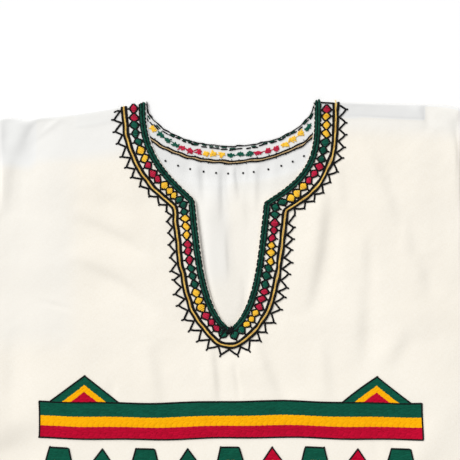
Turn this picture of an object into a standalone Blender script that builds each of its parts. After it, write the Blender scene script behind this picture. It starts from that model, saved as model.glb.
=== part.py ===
"""Embroidered cotton tunic, laid flat and face up.

Metres, +X the wearer's left, +Y towards the neck, +Z up. The four cut pieces are
cloth walls: the back lies flat on the surface, the front lies over it, and each
sleeve is a flattened tube sewn to both. A green braid and a gold cord run round the
front neck. Each piece is drawn in cutting coordinates, whose zero is the middle of
the neck at the level of the shoulder points. The empty named tunic then puts the
middle of the whole footprint at the world's origin.
"""

import math
from functools import partial
from typing import NamedTuple

import bmesh
import bpy
from mathutils import Vector
from mathutils.geometry import intersect_line_line_2d

# Cloth
WALL = 0.0012
SEAM_GAP = 0.0003
LOFT = 0.0030            # how high the front stands off the back, away from its seams
SLEEVE_LOFT = 0.0022     # the same between a sleeve's two layers
LOFT_RUN = 0.045         # how far in from a seam the front takes to rise
SLEEVE_RUN = 0.020       # the same on a sleeve, whose folded edge springs up sooner
NECK_LOFT = 0.0010       # the same at the neck edge, where the stitching holds it down
NECK_RUN = 0.055

# Neck
NECK_HALF = 0.0972       # from the middle to a shoulder point
NECK_DEPTH = 0.261       # depth of the slit's round end
CORNER_SWEEP = 1.2       # power with which the wide neck's curve turns into the slit
SLIT_TAPER = 0.40        # share of its width that the slit loses evenly on its way down
SLIT_SWEEP = 4.75        # powers of the slit's rounded end
SLIT_END = 0.70
BACK_NECK_HALF = 0.0955
BACK_NECK_DEPTH = 0.051

# Body
ARMHOLE_DEPTH = 0.315
UNDERARM_HALF = 0.288
HEM_HALF = 0.318
LENGTH = 0.820
HEM_RISE = 0.006         # the hem is this much shorter at the side seams

# Trims, measured out from the neck edge
BRAID_EDGES = (0.0003, 0.0066)
BRAID_HEIGHT = 0.0013
CORD_EDGES = (0.0212, 0.0278)
CORD_HEIGHT = 0.0012
CROWN = 0.45             # share of a trim's height that its two long edges lose
BAND_NARROWS = 0.16      # share by which the band closes up under the slit
NIP_RUN = 0.020          # how far above and below the slit's corners the band is nipped in

DENT_START = 0.72        # share of the shoulder line where its dent and bump begin
LIP_POWER = 12           # how late the shoulder line drops to its tip


class Side(NamedTuple):
    """One side of the body and its sleeve; out is +1 for the wearer's left."""

    out: float
    neck_rise: float       # the shoulder point above the cutting zero
    tip_half: float        # from the middle to the shoulder tip
    tip_drop: float        # from the shoulder point down to the tip
    sag: float             # power of the shoulder line's hollow
    lip: float             # the part of that drop that comes right at the tip
    dent: float            # how deep the line dips, then rises, before the tip
    armhole_hollow: float
    overarm: float         # length along the top of the sleeve
    slope: float           # overarm below level, degrees
    cuff: float            # flat width of the cuff
    slit_half: float       # from the middle to the slit's corner
    slit_top: float        # depth of that corner
    neck_sweep: float      # power of the curve from shoulder point to corner
    nip: float             # share by which the band is narrower above that corner
    nip_below: float       # the same below it
    spare: float           # share by which it is wider all down the slit


LEFT = Side(
    out=1.0, neck_rise=0.001, tip_half=0.266, tip_drop=0.010, sag=2.6, lip=0.0056, dent=0.0,
    armhole_hollow=0.004, overarm=0.292, slope=19.0, cuff=0.205,
    slit_half=0.0390, slit_top=0.1175, neck_sweep=4.1, nip=0.16, nip_below=0.0, spare=0.05,
)
RIGHT = Side(
    out=-1.0, neck_rise=0.0, tip_half=0.268, tip_drop=0.0208, sag=1.85, lip=0.0, dent=0.0016,
    armhole_hollow=0.004, overarm=0.292, slope=24.0, cuff=0.205,
    slit_half=0.0408, slit_top=0.1145, neck_sweep=2.8, nip=0.14, nip_below=0.05, spare=0.0,
)


class Fold(NamedTuple):
    """A soft ridge, or a trough where rise is negative, along a bowed line."""

    start: tuple
    end: tuple
    bow: float             # how far the line's middle stands off its chord
    width: float           # from the crest to where the fold has all but gone
    rise: float


FRONT_FOLDS = (
    # start, end, bow, width, rise
    Fold((-0.219, -0.018), (-0.260, -0.118), 0.006, 0.012, -0.0028),
    Fold((-0.190, -0.016), (-0.246, -0.128), 0.006, 0.011, 0.0026),
    Fold((0.106, -0.112), (0.099, -0.228), -0.005, 0.010, -0.0026),
    Fold((0.125, -0.112), (0.121, -0.222), -0.004, 0.011, 0.0020),
    Fold((0.152, -0.040), (0.229, -0.213), 0.004, 0.014, -0.0016),
    Fold((0.155, -0.160), (0.153, -0.320), 0.000, 0.013, -0.0014),
    Fold((-0.190, -0.127), (-0.094, -0.170), 0.003, 0.014, -0.0012),
    Fold((-0.180, -0.181), (-0.098, -0.223), 0.003, 0.013, -0.0012),
    Fold((-0.262, -0.338), (-0.150, -0.500), 0.012, 0.020, 0.0024),
    Fold((0.258, -0.345), (0.175, -0.530), -0.014, 0.019, 0.0026),
    Fold((-0.205, -0.560), (-0.248, -0.800), 0.008, 0.022, 0.0022),
    Fold((-0.048, -0.590), (-0.072, -0.810), -0.006, 0.024, 0.0018),
    Fold((0.118, -0.570), (0.165, -0.805), 0.010, 0.021, 0.0024),
    Fold((0.032, -0.480), (0.050, -0.640), 0.004, 0.018, -0.0016),
)

SLEEVE_FOLDS = (
    # in sleeve coordinates: from the armhole out (0 to 1), from overarm to underarm (0 to 1)
    Fold((0.05, 0.30), (0.80, 0.86), 0.05, 0.085, 0.0017),
    Fold((0.10, 0.62), (0.55, 0.93), 0.03, 0.070, 0.0014),
    Fold((0.30, 0.16), (0.95, 0.46), -0.04, 0.080, 0.0015),
)


def smooth(value):
    """0 below 0, 1 above 1 and an S-curve between."""
    value = min(1.0, max(0.0, value))
    return value * value * (3 - 2 * value)


def fold_height(folds, x, y):
    """Sum of the folds at a point."""
    total = 0.0
    for fold in folds:
        run = Vector(fold.end) - Vector(fold.start)
        off = Vector((x, y)) - Vector(fold.start)
        along = off.dot(run) / run.length_squared
        if not 0 < along < 1:
            continue
        across = (run.x * off.y - run.y * off.x) / run.length
        across -= fold.bow * 4 * along * (1 - along)
        total += fold.rise * math.sin(math.pi * along) ** 0.8 * math.exp(-((across / fold.width) ** 2))
    return total


def neck_half(side, depth):
    """The front neck edge's distance from the middle at a depth below the shoulder points."""
    if depth <= side.slit_top:
        sweep = (1 - (depth / side.slit_top) ** side.neck_sweep) ** CORNER_SWEEP
        return side.slit_half + (NECK_HALF - side.slit_half) * sweep
    share = min(1.0, (depth - side.slit_top) / (NECK_DEPTH - side.slit_top))
    return side.slit_half * (1 - SLIT_TAPER * share) * (1 - share**SLIT_SWEEP) ** SLIT_END


def slit_depth(side, turn):
    """Depth along the slit, turn running from 0 at its corner to 1 at its round end."""
    return side.slit_top + (NECK_DEPTH - side.slit_top) * math.sin(turn * math.pi / 2)


def back_neck_half(depth):
    """Half the width of the back neck at a depth."""
    return BACK_NECK_HALF * math.sqrt(max(0.0, 1 - (depth / BACK_NECK_DEPTH) ** 2))


def shoulder_y(side, x):
    """The shoulder line at a distance x from the middle."""
    share = min(1.0, max(0.0, (abs(x) - NECK_HALF) / (side.tip_half - NECK_HALF)))
    drop = (side.tip_drop - side.lip) * (1 - (1 - share) ** side.sag) + side.lip * share**LIP_POWER
    turn = max(0.0, share - DENT_START) / (1 - DENT_START) * 2 * math.pi
    return side.neck_rise - drop - side.dent * math.sin(turn)


def tip_y(side):
    """Level of the shoulder tip."""
    return side.neck_rise - side.tip_drop


def armhole_x(side, y):
    """The armhole seam's distance from the middle at a level y."""
    share = min(1.0, max(0.0, (tip_y(side) - y) / (tip_y(side) + ARMHOLE_DEPTH)))
    flare = (UNDERARM_HALF - side.tip_half) * share**2.2
    return side.tip_half + flare - side.armhole_hollow * math.sin(math.pi * share)


def hem_y(x):
    """The hem line."""
    return -LENGTH + HEM_RISE * (x / HEM_HALF) ** 2


def side_x(side, y):
    """The outer edge, armhole then side seam, as a distance from the middle."""
    if y > -ARMHOLE_DEPTH:
        return armhole_x(side, y)
    share = (-ARMHOLE_DEPTH - y) / (LENGTH - HEM_RISE - ARMHOLE_DEPTH)
    return UNDERARM_HALF + (HEM_HALF - UNDERARM_HALF) * share**0.9


def body_edge(side, steps=16):
    """The outer outline of one half, from shoulder point to the hem's middle."""
    edge = []
    for step in range(steps):
        x = NECK_HALF + (side.tip_half - NECK_HALF) * step / steps
        edge.append(Vector((side.out * x, shoulder_y(side, x))))
    foot = -LENGTH + HEM_RISE
    for step in range(steps * 2):
        y = tip_y(side) + (foot - tip_y(side)) * step / (steps * 2)
        edge.append(Vector((side.out * side_x(side, y), y)))
    for step in range(steps + 1):
        x = HEM_HALF * (1 - step / steps)
        edge.append(Vector((side.out * x, hem_y(x))))
    return edge


def distance_to(line, x, y):
    """Shortest distance from a point to a polyline."""
    point = Vector((x, y))
    best = math.inf
    for first, second in zip(line, line[1:]):
        run = second - first
        share = min(1.0, max(0.0, (point - first).dot(run) / run.length_squared))
        best = min(best, (point - first - run * share).length)
    return best


def neck_branches(side, offset):
    """Two polylines, shoulder to corner and corner to slit end, this far out from the neck edge.

    They are drawn on the +X half. Where the two cross, each is cut, so the corner stays sharp.
    """
    fine = 60
    upper = [side.slit_top * step / fine for step in range(fine + 1)]
    lower = [slit_depth(side, step / fine) for step in range(fine + 1)]
    branches = []
    for depths in (upper, lower):
        edge = [Vector((neck_half(side, depth), -depth)) for depth in depths]
        moved = []
        for index, point in enumerate(edge):
            run = edge[min(index + 1, fine)] - edge[max(index - 1, 0)]
            normal = Vector((-run.y, run.x)).normalized()
            if depths is lower and index == fine:
                normal = Vector((0.0, -1.0))
            closing = smooth((-point.y / NECK_DEPTH - 0.88) / 0.12)
            nip, spare = (side.nip_below, side.spare) if depths is lower else (side.nip, 0.0)
            nipped = nip * math.exp(-(((point.y + side.slit_top) / NIP_RUN) ** 2))
            wide = 1 - nipped + spare * (1 - closing) - BAND_NARROWS * closing
            moved.append(point + normal * offset * wide)
        branches.append(moved)
    if offset <= 0:
        return branches
    return cut_at_crossing(*branches)


def cut_at_crossing(upper, lower):
    """Ends the first polyline and starts the second where they cross."""
    for i in range(1, len(upper)):
        for j in range(len(lower) - 1):
            meet = intersect_line_line_2d(upper[i - 1], upper[i], lower[j], lower[j + 1])
            if meet:
                return [upper[:i] + [meet], [meet] + lower[j + 1 :]]
    return [upper, lower]


def spaced(line, count):
    """A polyline resampled to count evenly spaced points."""
    lengths = [0.0]
    for first, second in zip(line, line[1:]):
        lengths.append(lengths[-1] + (second - first).length)
    points, piece = [], 0
    for step in range(count):
        target = lengths[-1] * step / (count - 1)
        while piece < len(line) - 2 and lengths[piece + 1] < target:
            piece += 1
        share = (target - lengths[piece]) / max(1e-9, lengths[piece + 1] - lengths[piece])
        points.append(line[piece].lerp(line[piece + 1], min(1.0, share)))
    return points


def neck_line(offset, upper_count, lower_count, top_margin):
    """The neck edge moved out by offset, from the right shoulder round to the left one."""
    halves = []
    for side in (RIGHT, LEFT):
        upper, lower = neck_branches(side, offset)
        top = shoulder_y(side, upper[0].x) - top_margin
        upper = [Vector((upper[0].x, top))] + [point for point in upper if point.y < top - 1e-4]
        points = spaced(upper, upper_count)[:-1] + spaced(lower, lower_count)
        halves.append([Vector((side.out * point.x, point.y)) for point in points])
    return halves[0] + halves[1][-2::-1]


NECK_EDGE = neck_line(0.0, 16, 24, 0.0)
EDGES = {side: body_edge(side) for side in (LEFT, RIGHT)}


def front_under(x, y):
    """Height of the front's underside over the surface."""
    side = LEFT if x >= 0 else RIGHT
    seam = distance_to(EDGES[side], x, y)
    neck = distance_to(NECK_EDGE, x, y)
    risen = 1 - math.exp(-((seam / LOFT_RUN) ** 2))
    loft = (NECK_LOFT + (LOFT - NECK_LOFT) * smooth(neck / NECK_RUN)) * risen
    free = smooth(seam / 0.030) * smooth((neck - 0.034) / 0.016)
    return WALL + SEAM_GAP + max(0.0, loft + fold_height(FRONT_FOLDS, x, y) * free)


def half_grid(bm, columns, rows, place):
    """One grid whose points are put where place(across, down) says, each from 0 to 1."""
    made = bmesh.ops.create_grid(bm, x_segments=columns, y_segments=rows, size=1.0)
    for vert in made["verts"]:
        vert.co = place((vert.co.x + 1) / 2, (1 - vert.co.y) / 2)


def thicken(bm, lift):
    """Turns an open skin into a closed wall; lift(vert) moves each copied point."""
    grown = bmesh.ops.extrude_face_region(bm, geom=bm.faces[:], use_keep_orig=True)
    for item in grown["geom"]:
        if isinstance(item, bmesh.types.BMVert):
            lift(item)
    bmesh.ops.recalc_face_normals(bm, faces=bm.faces[:])


def finished(name, bm, material, parent):
    """Makes the named object from a bmesh."""
    mesh = bpy.data.meshes.new(name)
    bm.to_mesh(mesh)
    bm.free()
    mesh.materials.append(material)
    mesh.shade_smooth()
    mesh.set_sharp_from_angle(angle=math.radians(40))
    piece = bpy.data.objects.new(name, mesh)
    piece.parent = parent
    bpy.context.scene.collection.objects.link(piece)
    return piece


def panel_place(side, depths, neck_width, height):
    """Maps a half panel's grid: across from the neck or middle to the side, down by rows."""
    rows = len(depths) - 1
    foot = LENGTH - HEM_RISE

    def place(across, down):
        row = round(down * rows)
        depth, level = depths[row]
        inner = Vector((neck_width(depth), -depth if row else side.neck_rise))
        outer = Vector((side_x(side, -level), -level))
        if row == rows:
            inner, outer = Vector((0.0, hem_y(0.0))), Vector((HEM_HALF, -foot))
        x, y = inner.lerp(outer, across ** 1.15)
        if row == 0:
            y = shoulder_y(side, x)
        if row == rows:
            y = hem_y(x)
        x *= side.out
        return Vector((x, y, height(x, y)))

    return place


def row_depths(side, neck_depths, armhole_rows, body_rows):
    """Pairs of depths, at the neck or middle and at the outer edge, for each row of a panel."""
    neck_rows = len(neck_depths) - 1
    rows = neck_rows + body_rows
    last, tip, foot = neck_depths[-1], -tip_y(side), LENGTH - HEM_RISE
    pairs = []
    for row in range(rows + 1):
        if row <= neck_rows:
            inner = neck_depths[row]
        else:
            inner = last + (LENGTH - last) * (row - neck_rows) / body_rows
        if row <= armhole_rows:
            outer = tip + (ARMHOLE_DEPTH - tip) * row / armhole_rows
        else:
            outer = ARMHOLE_DEPTH + (foot - ARMHOLE_DEPTH) * (row - armhole_rows) / (rows - armhole_rows)
        pairs.append((inner, outer))
    return pairs


def front_panel(material, parent):
    """The front: both halves on one centre line below the slit, with the whole neck cut out."""
    upper_rows, slit_rows, armhole_rows, body_rows, columns = 8, 9, 19, 15, 24
    bm = bmesh.new()
    for side in (LEFT, RIGHT):
        depths = [side.slit_top * (row / upper_rows) ** 0.85 for row in range(upper_rows)]
        depths += [slit_depth(side, row / slit_rows) for row in range(slit_rows + 1)]
        pairs = row_depths(side, depths, armhole_rows, body_rows)
        place = panel_place(side, pairs, partial(neck_half, side), front_under)
        half_grid(bm, columns, len(pairs) - 1, place)
    bmesh.ops.remove_doubles(bm, verts=bm.verts[:], dist=1e-5)

    def lift(vert):
        vert.co.z += WALL

    thicken(bm, lift)
    return finished("front_panel", bm, material, parent)


def back_panel(material, parent):
    """The back, flat on the surface, with its shallow neck."""
    neck_rows, armhole_rows, body_rows, columns = 6, 12, 14, 12
    depths = [BACK_NECK_DEPTH * math.sin(row / neck_rows * math.pi / 2) for row in range(neck_rows + 1)]
    bm = bmesh.new()
    for side in (LEFT, RIGHT):
        pairs = row_depths(side, depths, armhole_rows, body_rows)
        half_grid(bm, columns, len(pairs) - 1, panel_place(side, pairs, back_neck_half, lambda x, y: 0.0))
    bmesh.ops.remove_doubles(bm, verts=bm.verts[:], dist=1e-5)

    def lift(vert):
        vert.co.z += WALL

    thicken(bm, lift)
    return finished("back_panel", bm, material, parent)


def sleeve_corners(side):
    """The cuff's top and bottom corners."""
    slope = math.radians(side.slope)
    tip = Vector((side.tip_half, tip_y(side)))
    top = tip + side.overarm * Vector((math.cos(slope), -math.sin(slope)))
    bottom = top + side.cuff * Vector((-math.sin(slope), -math.cos(slope)))
    return top, bottom


def sleeve(name, side, material, parent):
    """A flattened tube: lower layer on the surface, upper layer over it, folded at both edges."""
    across_steps, turn_steps, rings = 10, 4, 12
    radius = WALL + SEAM_GAP / 2
    ring = 2 * (across_steps + turn_steps)
    cuff_top, cuff_bottom = sleeve_corners(side)

    def base(along, across):
        y = tip_y(side) + (-ARMHOLE_DEPTH - tip_y(side)) * across
        seam = Vector((armhole_x(side, y) + 1.5 * SEAM_GAP, y))
        cuff = cuff_top.lerp(cuff_bottom, across)
        cuff += Vector((0.006, -0.002)) * 4 * across * (1 - across)
        return seam.lerp(cuff, along)

    def rise(along, across):
        seam = min(across, 1 - across, along * 1.2) * side.cuff
        lofted = SLEEVE_LOFT * (1 - math.exp(-((seam / SLEEVE_RUN) ** 2)))
        return lofted + fold_height(SLEEVE_FOLDS, along, across) * smooth(seam / 0.030)

    def skin(step, along, wall):
        """A point of the outer skin, or of the inner one when wall is the cloth's thickness."""
        if step < across_steps:
            across = step / across_steps
            return base(along, across).to_3d() + Vector((0, 0, 2 * radius + rise(along, across) - wall))
        step -= across_steps
        if step >= turn_steps and step < turn_steps + across_steps:
            across = 1 - (step - turn_steps) / across_steps
            return base(along, across).to_3d() + Vector((0, 0, wall))
        far = step < turn_steps
        turn = (step if far else step - turn_steps - across_steps) / turn_steps * math.pi
        edge = 1.0 if far else 0.0
        out = (base(along, edge) - base(along, 0.5)).normalized()
        bulge = (radius - wall) * math.sin(turn)
        height = radius + (radius - wall) * math.cos(turn) * (1 if far else -1)
        point = base(along, edge) + out * bulge
        return Vector((point.x, point.y, height))

    bm = bmesh.new()
    bmesh.ops.create_grid(bm, x_segments=ring, y_segments=rings, size=1.0)
    step_of = bm.verts.layers.int.new("step")
    along_of = bm.verts.layers.float.new("along")
    for vert in bm.verts:
        vert[step_of] = round((vert.co.x + 1) / 2 * ring) % ring
        vert[along_of] = (vert.co.y + 1) / 2
        vert.co = skin(vert[step_of], vert[along_of], 0.0)
        vert.co.x *= side.out
    bmesh.ops.remove_doubles(bm, verts=bm.verts[:], dist=1e-6)

    def lift(vert):
        vert.co = skin(vert[step_of], vert[along_of], WALL)
        vert.co.x *= side.out

    thicken(bm, lift)
    return finished(name, bm, material, parent)


def neck_trim(name, edges, height, material, parent):
    """A low crowned strip on the front, made from the front's own points moved out."""
    across_steps, upper_count, lower_count = 3, 13, 17
    lines = [
        neck_line(edges[0] + (edges[1] - edges[0]) * step / across_steps, upper_count, lower_count, 0.0012)
        for step in range(across_steps + 1)
    ]
    stations = len(lines[0]) - 1
    bm = bmesh.new()
    bmesh.ops.create_grid(bm, x_segments=across_steps, y_segments=stations, size=1.0)
    across_of = bm.verts.layers.float.new("across")
    for vert in bm.verts:
        across, station = (vert.co.x + 1) / 2, round((vert.co.y + 1) / 2 * stations)
        vert[across_of] = across
        point = lines[round(across * across_steps)][station]
        vert.co = Vector((point.x, point.y, front_under(point.x, point.y) + WALL + SEAM_GAP))

    def lift(vert):
        vert.co.z += height * (1 - CROWN * (2 * vert[across_of] - 1) ** 2)

    thicken(bm, lift)
    return finished(name, bm, material, parent)


def finish_of(name, colour, roughness):
    """A plain cloth or thread finish."""
    material = bpy.data.materials.new(name)
    material.use_nodes = True
    shader = material.node_tree.nodes["Principled BSDF"]
    shader.inputs["Base Color"].default_value = (*colour, 1.0)
    shader.inputs["Roughness"].default_value = roughness
    shader.inputs["Metallic"].default_value = 0.0
    material.diffuse_color = (*colour, 1.0)
    return material


def centre_footprint(group, pieces):
    """Moves the group so that the middle of the footprint is at the origin."""
    points = [vert.co for piece in pieces for vert in piece.data.vertices]
    spans = [(min(p[axis] for p in points), max(p[axis] for p in points)) for axis in (0, 1)]
    group.location = (-sum(spans[0]) / 2, -sum(spans[1]) / 2, 0.0)


def main():
    """Clears the scene and builds the tunic."""
    for item in list(bpy.data.objects):
        bpy.data.objects.remove(item, do_unlink=True)
    cotton = finish_of("unbleached_cotton", (0.91, 0.88, 0.80), 0.9)
    green = finish_of("green_thread", (0.018, 0.075, 0.050), 0.6)
    gold = finish_of("gold_thread", (0.62, 0.40, 0.07), 0.55)
    group = bpy.data.objects.new("tunic", None)
    bpy.context.scene.collection.objects.link(group)
    pieces = [
        back_panel(cotton, group),
        front_panel(cotton, group),
        sleeve("sleeve_left", LEFT, cotton, group),
        sleeve("sleeve_right", RIGHT, cotton, group),
        neck_trim("neck_braid", BRAID_EDGES, BRAID_HEIGHT, green, group),
        neck_trim("gold_cord", CORD_EDGES, CORD_HEIGHT, gold, group),
    ]
    centre_footprint(group, pieces)


main()
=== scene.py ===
"""Scene of an embroidered cotton tunic that lies flat and face up on a pale surface.

The cloth is drawn in cutting coordinates, metres from the middle of the neck at the
level of the shoulder points, with +X the wearer's left and +Y towards the neck. The
packed front panel says where that zero lies in the frame.
"""

from __future__ import annotations

import logging
import math
import random
from dataclasses import dataclass, field
from enum import Enum
from functools import partial
from typing import Callable, Optional, Sequence

import bmesh
import bpy
import numpy as np
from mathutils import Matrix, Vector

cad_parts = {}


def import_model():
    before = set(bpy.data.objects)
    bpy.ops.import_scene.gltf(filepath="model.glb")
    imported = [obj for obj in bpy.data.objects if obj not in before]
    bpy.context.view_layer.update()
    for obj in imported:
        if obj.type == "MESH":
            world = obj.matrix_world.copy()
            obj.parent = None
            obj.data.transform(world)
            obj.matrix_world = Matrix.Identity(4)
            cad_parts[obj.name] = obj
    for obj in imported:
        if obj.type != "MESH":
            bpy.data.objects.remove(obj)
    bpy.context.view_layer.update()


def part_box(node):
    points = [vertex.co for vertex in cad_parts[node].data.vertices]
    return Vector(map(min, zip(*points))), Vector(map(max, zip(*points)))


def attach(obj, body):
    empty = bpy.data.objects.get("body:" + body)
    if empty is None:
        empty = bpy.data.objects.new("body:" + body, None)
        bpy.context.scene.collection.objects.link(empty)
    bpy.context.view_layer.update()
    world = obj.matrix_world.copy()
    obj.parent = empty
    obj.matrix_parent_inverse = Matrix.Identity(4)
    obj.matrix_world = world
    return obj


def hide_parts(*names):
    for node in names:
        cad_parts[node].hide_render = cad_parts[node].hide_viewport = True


LOG = logging.getLogger("tunic")
MM = 0.001
BODY = "root"
SHOULDER_INSET = 1.3 * MM  # the front's rows of stitches end this far below the shoulder seam
BACK_SHOULDER_INSET = 1.2 * MM

Points = np.ndarray
Height = Callable[[Points], Points]
Shares = tuple[tuple[float, ...], tuple[float, ...]]  # places along a row, and the values there
Pairs = tuple[tuple[float, float], ...]


@dataclass(frozen=True)
class Side:
    """One side of the body and its sleeve; out is +1 for the wearer's left."""

    out: float
    neck_rise: float  # of the shoulder point over the cutting zero
    tip_half: float  # from the middle to the shoulder tip
    tip_drop: float  # from the shoulder point to the tip
    sag: float  # power of the shoulder line's curve
    lip: float  # the part of the drop that comes late, at the tip
    dent: float  # depth of the dent before the tip
    slope: float  # fall of the overarm in degrees
    slit_half: float  # from the middle to the slit's corner
    slit_top: float  # depth of that corner
    neck_sweep: float  # power with which the wide neck's curve turns into the slit
    nip: float  # share by which the band is drawn in above the corner
    nip_below: float  # the same below it
    spare: float  # share by which the band spreads beside the slit
    groove: float  # depth of the armhole seam
    armhole_hollow: float = 0.004
    overarm: float = 0.292
    cuff: float = 0.205

    @property
    def tip_y(self) -> float:
        """Level of the shoulder tip."""
        return self.neck_rise - self.tip_drop


LEFT = Side(
    out=1.0, neck_rise=0.001, tip_half=0.266, tip_drop=0.010, sag=2.6, lip=0.0056, dent=0.0, slope=19.0,
    slit_half=0.0390, slit_top=0.1175, neck_sweep=4.1, nip=0.16, nip_below=0.0, spare=0.05, groove=0.00020,
)
RIGHT = Side(
    out=-1.0, neck_rise=0.0, tip_half=0.268, tip_drop=0.0208, sag=1.85, lip=0.0, dent=0.0016, slope=24.0,
    slit_half=0.0408, slit_top=0.1145, neck_sweep=2.8, nip=0.14, nip_below=0.05, spare=0.0, groove=0.00012,
)


@dataclass(frozen=True)
class Fold:
    """A soft ridge, or a trough where rise is negative, along a bowed line.

    A crease steps by rise to each side of its line, instead, and levels out slowly.
    The tables below give these fields in this order.
    """

    start: tuple[float, float]
    end: tuple[float, float]
    bow: float
    width: float
    rise: float
    crease: bool = False


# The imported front's folds, softer where the photograph shows sharper creases instead.
MAIN_FOLDS = (
    Fold((0.121, -0.112), (0.119, -0.222), -0.004, 0.014, -0.0008),
    Fold((0.155, -0.16), (0.153, -0.32), 0.0, 0.013, -0.0008),
    Fold((-0.19, -0.127), (-0.094, -0.17), 0.003, 0.014, -0.0008),
    Fold((-0.18, -0.181), (-0.098, -0.223), 0.003, 0.013, -0.0008),
    Fold((-0.262, -0.338), (-0.15, -0.5), 0.012, 0.02, 0.0024),
    Fold((0.258, -0.345), (0.175, -0.53), -0.014, 0.019, 0.0026),
    Fold((-0.205, -0.56), (-0.248, -0.8), 0.008, 0.022, 0.0022),
    Fold((-0.048, -0.59), (-0.072, -0.81), -0.006, 0.024, 0.0018),
    Fold((0.118, -0.57), (0.165, -0.805), 0.01, 0.021, 0.0024),
    Fold((0.032, -0.48), (0.05, -0.64), 0.004, 0.018, -0.0016),
)

# Creases that show beside and below the neck, then like ones on the stretch out of sight.
FRONT_CREASES = (
    Fold((0.112, -0.092), (0.089, -0.246), 0.0045, 0.0052, -0.002, True),
    Fold((0.1512, -0.04), (0.196, -0.156), 0.006, 0.0056, -0.0013, True),
    Fold((0.203, -0.132), (0.2122, -0.19), 0.0, 0.005, -0.001, True),
    Fold((0.216, -0.176), (0.2285, -0.226), 0.0, 0.0052, -0.001, True),
    Fold((0.1558, -0.15), (0.1581, -0.222), 0.0, 0.003, -0.0008, True),
    Fold((0.1552, -0.208), (0.1512, -0.306), 0.0, 0.006, -0.0015, True),
    Fold((0.2064, -0.26), (0.1811, -0.31), 0.0, 0.0065, -0.00125, True),
    Fold((0.126, -0.07), (0.133, -0.126), 0.0, 0.004, -0.0007, True),
    Fold((0.2156, -0.001), (0.228, -0.03), 0.0, 0.003, -0.0011, True),
    Fold((0.2525, -0.022), (0.269, -0.084), 0.002, 0.0042, -0.0017, True),
    Fold((-0.182, -0.13), (-0.089, -0.178), 0.004, 0.0055, 0.00165, True),
    Fold((-0.186, -0.182), (-0.08, -0.243), 0.009, 0.0055, 0.0016, True),
    Fold((-0.221, -0.23), (-0.181, -0.24), 0.0, 0.0016, -0.0007),
    Fold((-0.212, -0.01), (-0.245, -0.066), -0.005, 0.0058, -0.0016, True),
    Fold((-0.248, -0.046), (-0.258, -0.134), 0.0, 0.0075, -0.0017, True),
    Fold((-0.189, -0.016), (-0.233, -0.05), 0.0, 0.0026, 0.00065),
    Fold((-0.0205, -0.276), (-0.013, -0.35), 0.0, 0.0032, -0.0011, True),
    Fold((0.03, -0.274), (0.061, -0.35), 0.0, 0.0055, -0.0019, True),
    Fold((-0.091, -0.276), (-0.078, -0.352), 0.0, 0.006, -0.0014, True),
    Fold((0.108, -0.274), (0.116, -0.344), 0.0, 0.0042, -0.00095, True),
    Fold((-0.257, -0.262), (-0.26, -0.372), 0.0, 0.009, -0.0016, True),
    Fold((-0.214, -0.362), (-0.306, -0.428), 0.0, 0.018, -0.0044, True),
    Fold((-0.26, -0.012), (-0.263, -0.066), 0.0, 0.005, -0.0013, True),
    Fold((-0.134, -0.318), (-0.137, -0.345), 0.0, 0.0035, -0.0009),
    Fold((0.005, -0.3), (0.012, -0.345), 0.0, 0.0035, -0.0007),
    Fold((-0.148, -0.105), (-0.108, -0.128), 0.002, 0.006, 0.0006, True),
    Fold((0.165, -0.385), (0.172, -0.412), 0.0, 0.0035, -0.0008),
    Fold((0.184, -0.386), (0.186, -0.408), 0.0, 0.003, -0.0007),
    Fold((-0.16, -0.47), (-0.075, -0.56), 0.006, 0.007, 0.0012, True),
    Fold((0.085, -0.5), (0.14, -0.6), -0.006, 0.006, -0.0012, True),
    Fold((-0.25, -0.48), (-0.215, -0.56), 0.004, 0.009, -0.0012),
    Fold((0.23, -0.58), (0.262, -0.72), 0.006, 0.006, -0.0012, True),
    Fold((-0.13, -0.64), (-0.14, -0.79), 0.004, 0.006, -0.0011, True),
    Fold((0.04, -0.66), (0.048, -0.8), -0.004, 0.01, 0.001),
)

# Where the stiff band stands up beside the slit.
EDGE_LIFTS = (Fold((-0.042, -0.1), (-0.034, -0.245), 0.0, 0.013, 0.0023),)

# Creases of the back where the open neck shows it.
BACK_CREASES = (
    Fold((-0.0355, -0.05), (-0.0325, -0.122), 0.0, 0.0028, -0.0015, True),
    Fold((-0.014, -0.05), (-0.011, -0.14), 0.001, 0.0034, -0.0015, True),
    Fold((-0.018, -0.1), (0.013, -0.24), -0.001, 0.009, -0.00125, True),
    Fold((-0.03, -0.07), (-0.02, -0.27), 0.0, 0.0085, 0.0011),
    Fold((-0.02, -0.09), (-0.008, -0.29), 0.0, 0.017, 0.0014),
    Fold((0.002, -0.054), (0.01, -0.116), 0.0, 0.0028, -0.0013, True),
    Fold((0.0305, -0.05), (0.0325, -0.128), 0.0, 0.0028, -0.00125, True),
    Fold((0.015, -0.085), (0.019, -0.15), 0.0, 0.004, -0.0006, True),
    Fold((0.012, -0.2), (0.02, -0.25), 0.0, 0.004, -0.0008, True),
    Fold((-0.005, -0.15), (-0.002, -0.205), 0.0, 0.002, -0.0005, True),
    Fold((-0.024, -0.06), (-0.023, -0.092), 0.0, 0.002, -0.0006),
    Fold((0.02, -0.06), (0.022, -0.092), 0.0, 0.002, -0.0006),
    Fold((-0.048, -0.058), (-0.047, -0.086), 0.0, 0.0022, -0.0006),
    Fold((0.044, -0.058), (0.044, -0.084), 0.0, 0.0022, -0.0006),
)

# Folds of both sleeves, in shares out from the armhole and down from the overarm.
SLEEVE_FOLDS = (
    Fold((0.05, 0.3), (0.8, 0.86), 0.05, 0.085, 0.0017),
    Fold((0.1, 0.62), (0.55, 0.93), 0.03, 0.07, 0.0014),
    Fold((0.3, 0.16), (0.95, 0.46), -0.04, 0.08, 0.0015),
    Fold((0.2, 0.48), (0.7, 0.66), 0.02, 0.035, -0.0006),
    Fold((0.4, 0.08), (0.78, 0.24), -0.02, 0.035, -0.0005),
)

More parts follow.
